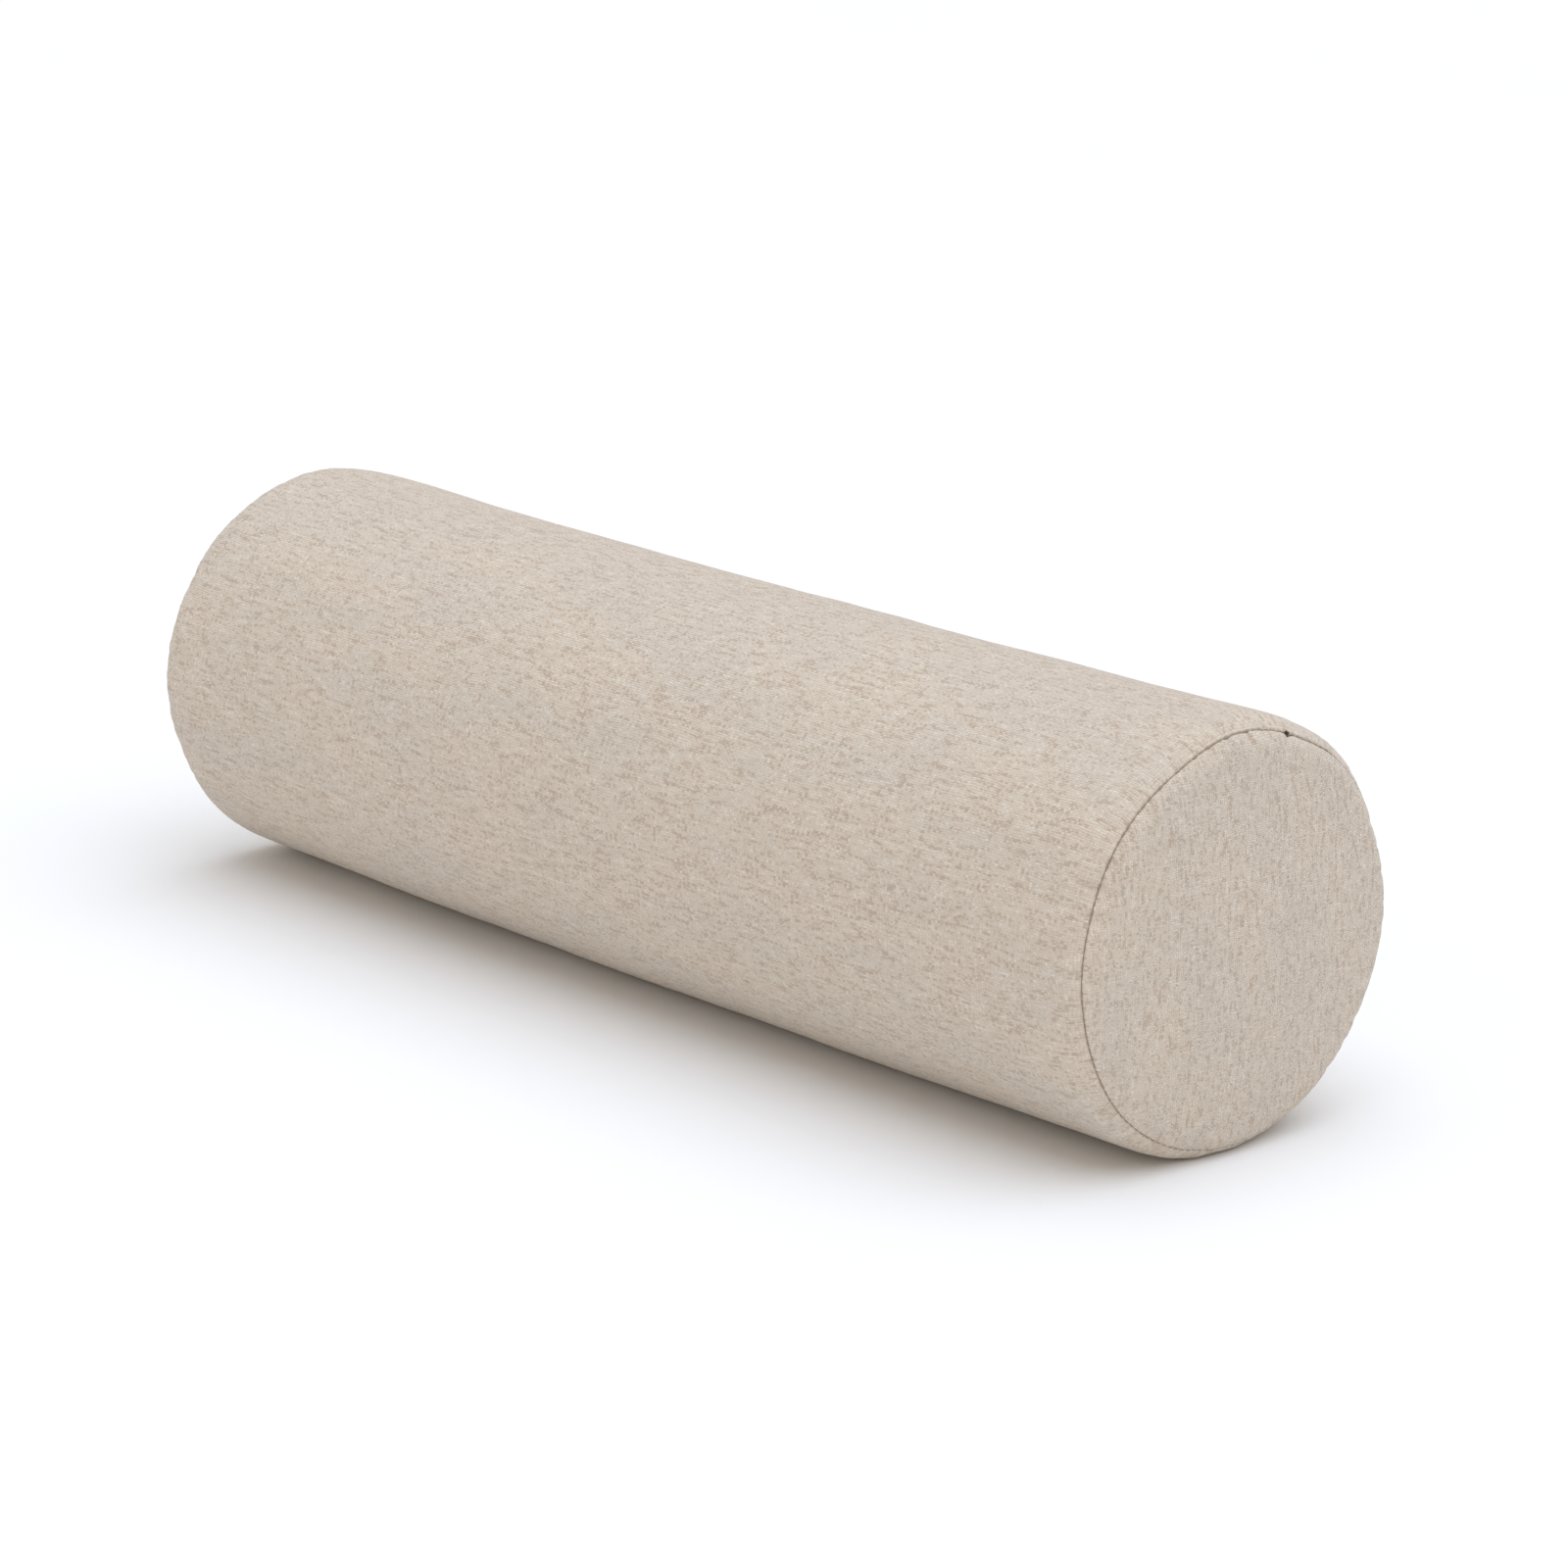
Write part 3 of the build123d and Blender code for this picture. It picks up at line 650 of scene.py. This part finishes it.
def filament():
    """Drawn nylon filament, a little glossy and uneven."""
    n = Nodes("zip_filament")
    at = n.objectspace()
    cloud = n.noise(at, 420.0, 2.0)
    scratch = n.grain(at, (300, 4000, 4000), 2.0)
    colour = n.mix(cloud, rgb(0.52, 0.45, 0.375), rgb(0.60, 0.53, 0.45))
    normal = n.bump(scratch, 0.2, 0.00005)
    return n.finish(colour, normal, n.span(scratch, 0.3, 0.7, 0.34, 0.5), Specular_IOR_Level=0.45)


def enamelled_metal():
    """Baked enamel over zinc, rubbed through a little along its edges."""
    n = Nodes("zip_enamel")
    at = n.objectspace()
    edge = n.add("NewGeometry").outputs["Pointiness"]
    grain = n.noise(at, 1600.0, 3.0, 0.6)
    worn = n.span(n.math("MULTIPLY_ADD", grain, 0.10, edge), 0.64, 0.70)
    colour = n.mix(n.noise(at, 300.0, 2.0), rgb(0.47, 0.405, 0.335), rgb(0.52, 0.45, 0.38))
    colour = n.tinted(colour, rgb(0.62, 0.61, 0.59), worn, 0.7)
    roughness = n.span(grain, 0.3, 0.7, 0.34, 0.46)
    normal = n.bump(grain, 0.15, 0.00004)
    return n.finish(colour, normal, roughness, Coat_Weight=0.25, Coat_Roughness=0.2)


def fibre_fill():
    """Matted polyester fibre."""
    n = Nodes("fibre_fill")
    at = n.objectspace()
    strands = n.noise(at, 900.0, 4.0, 0.65, 1.6)
    clumps = n.noise(at, 70.0, 3.0)
    colour = n.mix(n.span(strands, 0.35, 0.65), rgb(0.80, 0.80, 0.79), rgb(0.93, 0.93, 0.92))
    colour = n.tinted(colour, rgb(0.74, 0.74, 0.72), n.span(clumps, 0.4, 0.7), 0.2)
    normal = n.bump(n.math("MULTIPLY_ADD", clumps, 0.8, strands), 0.9, 0.0006)
    return n.finish(colour, normal, 0.95, Sheen_Weight=0.3, Specular_IOR_Level=0.15)


def foam_cells():
    """Open-cell polyurethane foam."""
    n = Nodes("foam_cells")
    at = n.objectspace()
    cells = n.wired("TexVoronoi", {"Vector": at, "Scale": 850.0}, feature="SMOOTH_F1")
    pores_and_pore_shade = n.span(cells.outputs["Distance"], 0.15, 0.6)
    aged = n.noise(at, 16.0, 3.0)
    # Darker in the middle of each cell: painted shade inside the foam's open pores, over the same hollows as
    # the bump.
    colour = n.mix(pores_and_pore_shade, rgb(0.60, 0.55, 0.38), rgb(0.80, 0.76, 0.58))
    colour = n.tinted(colour, rgb(0.84, 0.78, 0.55), aged, 0.3)
    normal = n.bump(pores_and_pore_shade, 0.8, 0.0004)
    return n.finish(colour, normal, 0.95, Specular_IOR_Level=0.2)


# ---- Cover ----
def over_surface(outline):
    """Each row's distance from the first, measured over the surface."""
    return np.concatenate([[0], np.cumsum(np.hypot(np.diff(outline[:, 0]), np.diff(outline[:, 1])))])


def side_panel():
    """The sheet round the bolster, from one raw edge inside the zip's seam, round to the other."""
    half = side_outline()
    turn = np.linspace(0, np.pi, 11)[1:]
    fold_u, fold_h = FOLD * (1 - np.sin(turn)), FOLD * (1 - np.cos(turn))
    flap_u = np.array([4.0, 7.5, 11.0, FLAP])
    edge_h = np.concatenate([fold_h, np.full(4, 2 * FOLD)])
    last_row = int(np.nonzero(half[:, 2] == 0)[0][-1])
    halves, arcs, angles = [], [], []
    for end in (1, -1):
        x, r = end * half[:, :1], half[:, 1:2]
        slit = SEWN_HALF + (SLIT_HALF - SEWN_HALF) * smooth(0, 3, ZIP_END - np.abs(x))
        edge_u = np.concatenate([slit + fold_u, np.broadcast_to(flap_u, (len(x), 4))], axis=1)
        first = (slit + FOLD) / (RADIUS - FOLD)
        main = ZIP_ANGLE + first + (2 * np.pi - 2 * first) * np.linspace(0, 1, COLUMNS)
        low_edge = ZIP_ANGLE + edge_u[:, ::-1] / (RADIUS - FOLD)
        high_edge = ZIP_ANGLE + 2 * np.pi - edge_u / (RADIUS - FOLD)
        theta = np.concatenate([low_edge, main, high_edge], axis=1)
        depth = np.concatenate([edge_h[::-1], np.zeros(COLUMNS), edge_h])[None, :]
        sheet = settled(placed(x, r, theta))
        normals = grid_normals(sheet, False) * end
        distance = np.hypot(np.abs(x) - SEAM_X, r - SEAM_R) + 0 * theta
        arc = over_surface(half)
        over = end * np.minimum(arc, arc[last_row] + BEAD)
        sheet = drawn_in(sheet, normals, distance, theta, over, end, last_row, np.array([-end, 0.0, 0.0]))
        radial = heading(0 * x, 1.0, theta)
        halves.append(sheet - depth[..., None] * radial)
        arcs.append(end * arc)
        angles.append(theta)
    sheet = floored(np.concatenate([halves[1][::-1], halves[0][1:]]))
    arc = np.concatenate([arcs[1][::-1], arcs[0][1:]])
    theta = np.concatenate([angles[1][::-1], angles[0][1:]])
    coords = on_cloth(arc[:, None], (theta - ZIP_ANGLE) * RADIUS)
    columns = theta.shape[1]
    row_x = np.abs(np.concatenate([half[::-1, 0], half[1:, 0]]))

    def keep(i, j):
        return not ((j < 4 or j >= columns - 5) and max(row_x[i], row_x[i + 1]) > FLAP_END)

    return cloth_sheet("cover_side", sheet, coords, False, CLOTH, keep)


def disc(name, sheet, back, coords):
    """A round piece from a grid whose rows run outwards from near its middle, closed there on both faces."""
    rows, columns, _ = sheet.shape
    count = rows * columns
    faces = grid_faces(rows, columns, True) + grid_faces(rows, columns, True, count, True)
    middles = [sheet[0].mean(axis=0), back[0].mean(axis=0)]
    vertices = np.concatenate([sheet.reshape(-1, 3), back.reshape(-1, 3), middles])
    last = (rows - 1) * columns
    for j in range(columns):
        k = (j + 1) % columns
        faces += [(j, k, 2 * count), (count + k, count + j, 2 * count + 1)]
        faces.append((last + j, last + k, count + last + k, count + last + j))
    both = np.concatenate([coords.reshape(-1, 3)] * 2 + [coords[0].mean(axis=0)[None]] * 2)
    obj = mesh_object(name, vertices, faces, both)
    tidy(obj)
    return obj


def end_panel(side):
    """A round end of the cover; the right one is pressed in a little, low down."""
    outline = end_outline()[1:]
    x, r = side * outline[:, :1], outline[:, 1:2]
    theta = ZIP_ANGLE + full_turn(COLUMNS) + 0 * x
    sheet = settled(placed(x, r, theta))
    normals = grid_normals(sheet, True) * -side
    distance = np.hypot(np.abs(x) - SEAM_X, r - SEAM_R) + 0 * theta
    last_row = int(np.nonzero(outline[:, 2] == 0)[0][-1])
    seam_arc = PUCKERS.arc[PUCKERS.middle + PUCKERS.seam]
    past = over_surface(outline)
    arc = side * (seam_arc + np.maximum(past[last_row] + BEAD - past, 0))
    flat = sheet[..., 1:].copy()
    inwards = [0, 0, AXIS_Z] - placed(0 * x, 1.0, theta)
    sheet = drawn_in(sheet, normals, distance, theta, arc, side, last_row, inwards)
    if side > 0:
        spot = placed(253.0, 60.5, math.radians(272))
        near = np.linalg.norm((sheet - spot) * [1, 1, 0.6], axis=-1)
        sheet = sheet - (1.1 * np.exp(-((near / 1.9) ** 2)))[..., None] * normals
    sheet = floored(sheet)
    coords = np.stack([1.7 * (flat[..., 1] - AXIS_Z) + 500 * side, flat[..., 0] + 40, 0 * theta], axis=-1)
    back = sheet - CLOTH * grid_normals(sheet, True) * -side
    return disc(of_end("cover_end", side), sheet, back, coords)


def end_seam_thread(side):
    """The thread that shows in the groove of an end seam, dipping where each stitch goes through."""
    count = 8 * SEAM_STITCHES
    theta = full_turn(count)
    dip = np.abs(np.cos(np.pi * theta / (2 * np.pi) * SEAM_STITCHES))
    depth = 0.36 + 0.75 * dip**5 + 0.06 * ripple(theta, 20, 60, 71)
    depth = depth + (2.2 * np.exp(-(((theta - GATHER_ANGLE) * SEAM_R / 1.3) ** 2)) if side > 0 else 0.0)
    sunk = depth * math.sqrt(0.5)
    path = floored(settled(placed(side * (SEAM_X - sunk), SEAM_R - sunk, theta)))
    outward = heading(side, 1.0, theta)
    shift = PUCKERS.at(np.array([side * PUCKERS.arc[PUCKERS.middle + PUCKERS.seam]]), theta[None])[0]
    shift = shift - seam_depth(theta, RIGHT_SEED if side > 0 else LEFT_SEED) * 0.8
    path = path + shift[:, None] * outward * math.sqrt(0.5)
    return tube(of_end("end_seam_sewing", side), path, 0.27, outward, True)


def seam_knot():
    """The knot where the right-hand end seam's thread is finished off, in the seam's open pucker; its
    near-black colour is painted shade for the hole there, not the thread's own colour.
    """
    turn = full_turn(60)
    trefoil = (
        np.sin(turn) + 2 * np.sin(2 * turn),
        np.cos(turn) - 2 * np.cos(2 * turn),
        -1.2 * np.sin(3 * turn),
    )
    loops = 0.23 * np.stack(trefoil, axis=-1)
    radial = np.array([0, math.cos(GATHER_ANGLE), math.sin(GATHER_ANGLE)])
    outward = (radial + [1.0, 0, 0]) / math.sqrt(2)
    across = (radial - [1.0, 0, 0]) / math.sqrt(2)
    middle = settled(placed(SEAM_X, SEAM_R, GATHER_ANGLE)) - 0.45 * outward
    path = middle + loops[:, :1] * np.cross(outward, across) + loops[:, 1:2] * across + loops[:, 2:] * outward
    return tube("seam_knot_right", path, 0.24, np.broadcast_to(outward, path.shape), True)


def overlock(side):
    """Looped thread over the two raw edges inside an end seam."""
    loops, steps = 176, 12
    turn = np.linspace(0, 2 * np.pi * loops, loops * steps, endpoint=False)
    theta = turn / loops
    across, down = np.cos(turn), np.sin(turn)
    squarish = 1.0 / np.maximum(np.abs(across), np.abs(down)) ** 0.6
    x = side * (SEAM_X - 1.20 + 1.14 * across * squarish)
    r = 63.1 + 1.75 * down * squarish
    path = settled(placed(x, r, theta + 0.35 * (2 * np.pi / loops) * np.sin(turn)))
    outward = heading(side * across, down, theta)
    return tube(of_end("overlock", side), path, 0.17, outward, True, 6)


def long_seam_thread():
    """The thread in the groove of the long seam, beyond each end of the zip."""
    paths = []
    for side in (-1, 1):
        x = np.arange(ZIP_END + 1, SEAM_X - 5, STITCH / 8)
        over = np.maximum(x - SHOULDER_X, 0)
        surface = SHOULDER_AXIS_R + np.sqrt(SHOULDER_R**2 - over**2)
        depth = 0.60 + 0.5 * stitched(x, STITCH)
        paths.append(settled(placed(side * x, surface - depth, np.full(len(x), ZIP_ANGLE))))
    outward = np.tile([0, math.cos(ZIP_ANGLE), math.sin(ZIP_ANGLE)], (len(paths[0]), 1))
    runs = [tube("long_seam_run", path, 0.2, outward, False) for path in paths]
    return joined("long_seam_thread_run", runs)


def joined(name, objects):
    """One object from several."""
    work = bmesh.new()
    for obj in objects:
        work.from_mesh(obj.data)
        bpy.data.objects.remove(obj)
    mesh = bpy.data.meshes.new(name)
    work.to_mesh(mesh)
    work.free()
    mesh.polygons.foreach_set("use_smooth", [True] * len(mesh.polygons))
    obj = bpy.data.objects.new(name, mesh)
    bpy.context.scene.collection.objects.link(obj)
    return obj


# ---- Zip ----
def zip_place(x, across, height):
    """Points in the zip's own frame: along it, across it and out from the bolster's axis."""
    x, across, height = np.broadcast_arrays(x, across, height)
    out = np.array([math.cos(ZIP_ANGLE), math.sin(ZIP_ANGLE)])
    up = np.array([-math.sin(ZIP_ANGLE), math.cos(ZIP_ANGLE)])
    y, z = height * out[0] + across * up[0], height * out[1] + across * up[1]
    return np.stack([x, y, AXIS_Z + z], axis=-1)


def zip_tape(side):
    """A woven tape with a thicker edge where the coil is sewn on and a beaded outer edge."""
    u = np.array([1.0, 1.25, 2.6, 2.9, 3.4, 5.0, 7.0, 9.0, 11.0, 12.2, 12.5, 12.75, 13.0])
    raised = np.array([0.05, 0, 0, 0.06, 0.10, 0.10, 0.10, 0.10, 0.10, 0.06, 0.0, 0.0, 0.06])
    x = np.linspace(-215, 215, 431)[:, None]
    wave = 0.03 * np.sin(2 * np.pi * x / 7.3 + u)
    radius = 72.85 - raised - wave * (u > 3)
    angle = ZIP_ANGLE + side * u / 72.6
    face = placed(x, radius, angle)
    back = placed(x, 72.35 + 0 * radius, angle)
    coords = on_cloth(x, u)
    return between(of_half("zip_tape", side), face, back, coords, False)


def zip_coil(side):
    """One row of the zip: a spring of stiff filament, one loop to each tooth."""
    pitch, steps, start, end = 1.2, 14, -194.6, 197.0
    count = int((end - start) / pitch * steps)
    turn = np.arange(count) * 2 * np.pi / steps
    x = start + pitch * turn / (2 * np.pi) + side * 0.15
    middle, half_width, level, half_height, filament_r = 1.62, 0.95, 71.61, 0.36, 0.245
    lean = 0.30 * np.cos(turn)
    across = side * (middle - half_width * np.cos(turn))
    height = level + half_height * np.sin(turn)
    path = zip_place(x + lean, across, height)
    centre = zip_place(x, side * middle, level)
    return tube(of_half("zip_coil", side), path, filament_r, path - centre, False)


def zip_stitching(side):
    """The lockstitch row that holds a tape, seen on the tape's inner face."""
    x = np.arange(-205, 205, 0.3)
    dip = stitched(x, 2.6)
    angle = ZIP_ANGLE + side * (5.0 + 0.05 * np.sin(x / 3.7)) / 72.1
    path = placed(x, 72.12 + 0.28 * dip, angle)
    outward = heading(0 * x, 1.0, angle)
    return tube(of_half("zip_stitching_row", side), path, 0.19, outward, False)


# ---- Liner and filling ----
def inner_outline(radius, end_x, seam_r, shoulder, rows=60):
    """(x, radius) of a layer's side from its left seam to its right seam, over rounded shoulders."""
    straight = end_x - shoulder
    half = [(x, radius) for x in np.linspace(0, straight, rows)[:-1]]
    for a in np.linspace(0, np.pi / 2, 12):
        half.append((straight + shoulder * math.sin(a), seam_r + (radius - seam_r) * math.cos(a)))
    half = np.array(half)
    return np.concatenate([half[::-1] * [-1, 1], half[1:]])


def under_zip(points, distance):
    """Pressed flat under the zip, at that distance from the axis."""
    out = np.array([0, math.cos(ZIP_ANGLE), math.sin(ZIP_ANGLE)])
    reach = (points - [0, 0, AXIS_Z]) @ out
    over = np.maximum(reach - distance, 0)
    return points - over[..., None] * out


def liner_side():
    """The liner's tube, creased and tucked at its ends, with its long seam on top."""
    outline = inner_outline(73.25, 247.3, 66.2, 12.0)
    x, r = outline[:, :1], outline[:, 1:]
    first = 0.06 / RADIUS
    theta = np.pi / 2 + first + (2 * np.pi - 2 * first) * np.linspace(0, 1, 300)[None, :] + 0 * x
    creases = 0.22 * swell(x, theta, 34.0, 26, 81) + 0.10 * swell(x, theta, 12.0, 60, 82)
    tuck = 0.35 * np.maximum(ripple(theta, 30, 70, 83), 0) * np.exp(-(((np.abs(x) - 244) / 9.0) ** 2))
    radius = r - 0.35 - np.clip(creases, -0.25, 0.6) - tuck
    radius = radius - 1.2 * smooth(225, 243, np.abs(x))
    sheet = floored(under_zip(settled(placed(x, radius, theta)), 69.35), 1.35)
    coords = on_cloth(x, theta * RADIUS)
    return cloth_sheet("liner_side", sheet, coords, False, LINER_CLOTH)


def dome_rows(edge_r, edge_x, apex_x):
    """(radius, x) of a domed end's rows, from near its middle out to its edge."""
    radius = np.linspace(2.0, edge_r, 22)[:, None]
    ball = (edge_r**2 + (apex_x - edge_x) ** 2) / (2 * (apex_x - edge_x))
    return radius, apex_x - ball + np.sqrt(ball**2 - radius**2)


def liner_end(side):
    """A round end of the liner."""
    r, x = dome_rows(64.6, 247.2, 252.6)
    theta = full_turn(240) + 0 * r
    creases = 0.3 * ripple(theta, 24, 60, 91 + side) * smooth(30, 60, r) * (1 - smooth(62, 64.6, r))
    sheet = settled(placed(side * (x - 0.2 - np.abs(creases)), r, theta))
    coords = on_cloth(sheet[..., 2], sheet[..., 1])
    back = sheet - [side * LINER_CLOTH, 0, 0]
    return disc(of_end("liner_end", side), sheet, back, coords)


def liner_thread(side):
    """The row of stitches round an end of the liner."""
    count = 8 * 160
    theta = full_turn(count)
    dip = np.abs(np.cos(80 * theta)) ** 6
    path = settled(placed(side * (247.75 - 0.2 * dip), 65.0, theta))
    outward = np.tile([side, 0, 0], (count, 1))
    return tube(of_end("liner_seam", side), path, 0.15, outward, True, 6)


def liner_long_thread():
    """The row of stitches along the liner."""
    x = np.arange(-228, 228, 0.35)
    dip = stitched(x, 2.8)
    path = settled(placed(x, 73.12 - 0.2 * dip, np.full(len(x), np.pi / 2)))
    outward = np.tile([0, 0, 1.0], (len(x), 1))
    return tube("liner_long_seam", path, 0.15, outward, False, 6)


def fibre_quilt():
    """The fibre rolled round the foam."""
    outline = inner_outline(72.3, 246.2, 64.0, 12.0, 40)
    x, r = outline[:, :1], outline[:, 1:]
    theta = full_turn(240) + 0 * x
    lumps = 0.25 * swell(x, theta, 30.0, 22, 101) + 0.12 * swell(x, theta, 11.0, 60, 102)
    radius = r - 0.5 - np.clip(lumps, -0.3, 0.7) - 1.2 * smooth(222, 240, np.abs(x))
    face = floored(under_zip(settled(placed(x, radius, theta)), 68.3), 2.3)
    back = settled(placed(x, 62.15, theta))
    coords = on_cloth(x, theta * RADIUS)
    return between("fibre_quilt", face, back, coords, True)


def fibre_pad(side):
    """The domed pad of fibre between the foam and an end."""
    r, x = dome_rows(61.3, 246.4, 251.2)
    theta = full_turn(200) + 0 * r
    lumps = 0.3 * np.abs(ripple(theta, 6, 22, 111 + side)) * smooth(5, 20, r)
    lumps = lumps + 0.2 * swell(r, theta, 16.0, 20, 113)
    sheet = settled(placed(side * (x - 0.4 - np.clip(lumps, -0.2, 1.0)), r, theta))
    back = settled(placed(side * 238.4, r, theta))
    coords = on_cloth(sheet[..., 2], sheet[..., 1])
    return disc(of_end("fibre_pad", side), sheet, back, coords)


def foam():
    """The foam core, with softened edges."""
    radius, half, edge = 61.6, 237.9, 3.0
    profile = [(x, radius) for x in np.linspace(0, half - edge, 40)[:-1]]
    for a in np.linspace(0, np.pi / 2, 7):
        profile.append((half - edge + edge * math.sin(a), radius - edge + edge * math.cos(a)))
    profile += [(half, r) for r in (55, 48, 40, 32, 24, 16, 8, 2)]
    profile = np.array(profile)
    outline = np.concatenate([profile[::-1] * [-1, 1], profile[1:]])
    x, r = outline[:, :1], outline[:, 1:]
    theta = full_turn(200) + 0 * x
    uneven = 0.08 + 0.06 * np.abs(swell(x, theta, 50.0, 10, 121))
    grid = settled(placed(x, r - uneven, theta))
    rows, columns, _ = grid.shape
    faces = grid_faces(rows, columns, True)
    faces += [tuple(range(columns))[::-1], tuple((rows - 1) * columns + j for j in range(columns))]
    coords = np.stack(np.broadcast_arrays(x, theta * radius, r), axis=-1)
    obj = mesh_object("foam_roll", grid.reshape(-1, 3), faces, coords.reshape(-1, 3))
    tidy(obj)
    return obj


# ---- Camera, light and floor ----
def studio():
    """The camera, two broad suns, a pale sky and a pale floor."""
    scene = bpy.context.scene
    azimuth, elevation, distance = math.radians(48.68), math.radians(15.82), 1.9875
    level = math.cos(elevation)
    back = Vector((math.sin(azimuth) * level, -math.cos(azimuth) * level, math.sin(elevation)))
    right = Vector((math.cos(azimuth), math.sin(azimuth), 0))
    data = bpy.data.cameras.new("camera")
    data.lens = 127.2
    data.sensor_width = 36.0
    data.clip_end = 100.0
    camera = bpy.data.objects.new("camera", data)
    camera.location = Vector((0, 0, AXIS_Z * MM + 0.0012)) + back * distance + right * 0.0177
    camera.rotation_euler = back.to_track_quat("Z", "Y").to_euler()
    scene.collection.objects.link(camera)
    scene.camera = camera
    scene.view_settings.view_transform = "Standard"
    world = bpy.data.worlds.new("studio")
    scene.world = world
    world.use_nodes = True
    sky = world.node_tree.nodes["Background"].inputs
    sky["Color"].default_value = rgb(1.0, 0.972, 0.925)
    sky["Strength"].default_value = 0.54
    for name, energy, spread, colour, towards in (
        ("overhead", 1.82, 80, (0.915, 0.995, 1.14), (0.18, 0.11, 1.0)),
        ("front", 0.15, 60, (1.0, 0.985, 0.96), (0.25, -0.90, 0.35)),
    ):
        lamp = bpy.data.lights.new(name, "SUN")
        lamp.energy, lamp.angle, lamp.color = energy, math.radians(spread), colour
        light = bpy.data.objects.new(name, lamp)
        light.rotation_euler = Vector(towards).to_track_quat("Z", "Y").to_euler()
        scene.collection.objects.link(light)
    mesh = bpy.data.meshes.new("floor")
    reach = 12.0
    corners = [(-reach, -reach, 0), (reach, -reach, 0), (reach, reach, 0), (-reach, reach, 0)]
    mesh.from_pydata(corners, [], [(0, 1, 2, 3)])
    floor = bpy.data.objects.new("floor", mesh)
    floor.location.z = -0.0002
    scene.collection.objects.link(floor)
    n = Nodes("floor_paper")
    tone = n.mix(n.noise(n.objectspace(), 3.0, 2.0), rgb(0.93, 0.93, 0.93), rgb(0.95, 0.95, 0.95))
    mesh.materials.append(n.finish(tone, None, 0.9, Specular_IOR_Level=0.1))


def dress(piece, material, slot, *nodes, fill=None):
    """Gives a new piece its material, its place on the bolster and the CAD nodes that it stands for."""
    piece.data.materials.clear()
    piece.data.materials.append(material)
    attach(piece, "bolster")
    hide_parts(*nodes)


studio()
cloth = heathered_cloth()
thread = spun_thread("cover_thread", rgb(0.43, 0.35, 0.27))
# Near-black: painted shade for the hole in the open pucker, far darker than the seam's own thread.
knot_painted_shade_thread = spun_thread("knot_painted_shade_thread", rgb(0.075, 0.06, 0.05))
overlock_thread = spun_thread("overlock_thread", rgb(0.66, 0.60, 0.53))
liner = fine_cloth("liner_cloth", rgb(0.83, 0.82, 0.78), rgb(0.72, 0.71, 0.67))
liner_sewing = spun_thread("liner_thread", rgb(0.76, 0.75, 0.71))
tape = fine_cloth("zip_tape", rgb(0.50, 0.43, 0.36), rgb(0.36, 0.30, 0.25), 0.0011)
coil = filament()
metal = enamelled_metal()
wadding = fibre_fill()
sponge = foam_cells()

dress(side_panel(), cloth, "cover_cloth", "cover_side_panel", fill=0.95)
dress(seam_knot(), knot_painted_shade_thread, "cover_thread", "end_seam_thread_right")
dress(long_seam_thread(), thread, "cover_thread", "long_seam_thread")
dress(liner_side(), liner, "liner_cloth", "liner_side_panel", fill=0.95)
dress(liner_long_thread(), liner_sewing, "liner_thread", "liner_long_seam_thread")
dress(fibre_quilt(), wadding, "fibre", "fibre_wrap", fill=0.9)
dress(foam(), sponge, "foam", "foam_core", fill=1.0)
for side, end, half in ((1, "right", "upper"), (-1, "left", "lower")):
    dress(end_panel(side), cloth, "cover_cloth", f"cover_end_panel_{end}", fill=0.95)
    dress(end_seam_thread(side), thread, "cover_thread", f"end_seam_thread_{end}")
    dress(overlock(side), overlock_thread, "overlock_thread", f"overlock_thread_{end}")
    dress(liner_end(side), liner, "liner_cloth", f"liner_end_panel_{end}", fill=0.95)
    dress(liner_thread(side), liner_sewing, "liner_thread", f"liner_end_thread_{end}")
    dress(fibre_pad(side), wadding, "fibre", f"fibre_end_pad_{end}", fill=0.9)
    dress(zip_tape(side), tape, "zip_tape", f"zipper_tape_{half}")
    dress(zip_coil(side), coil, "zip_coil", f"zipper_coil_{half}")
    dress(zip_stitching(side), thread, "cover_thread", f"zipper_stitching_{half}")
for node in ("zipper_slider", "zipper_pull_tab", "zipper_top_stops", "zipper_bottom_stop"):
    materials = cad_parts[node].data.materials
    materials.clear()
    materials.append(metal)
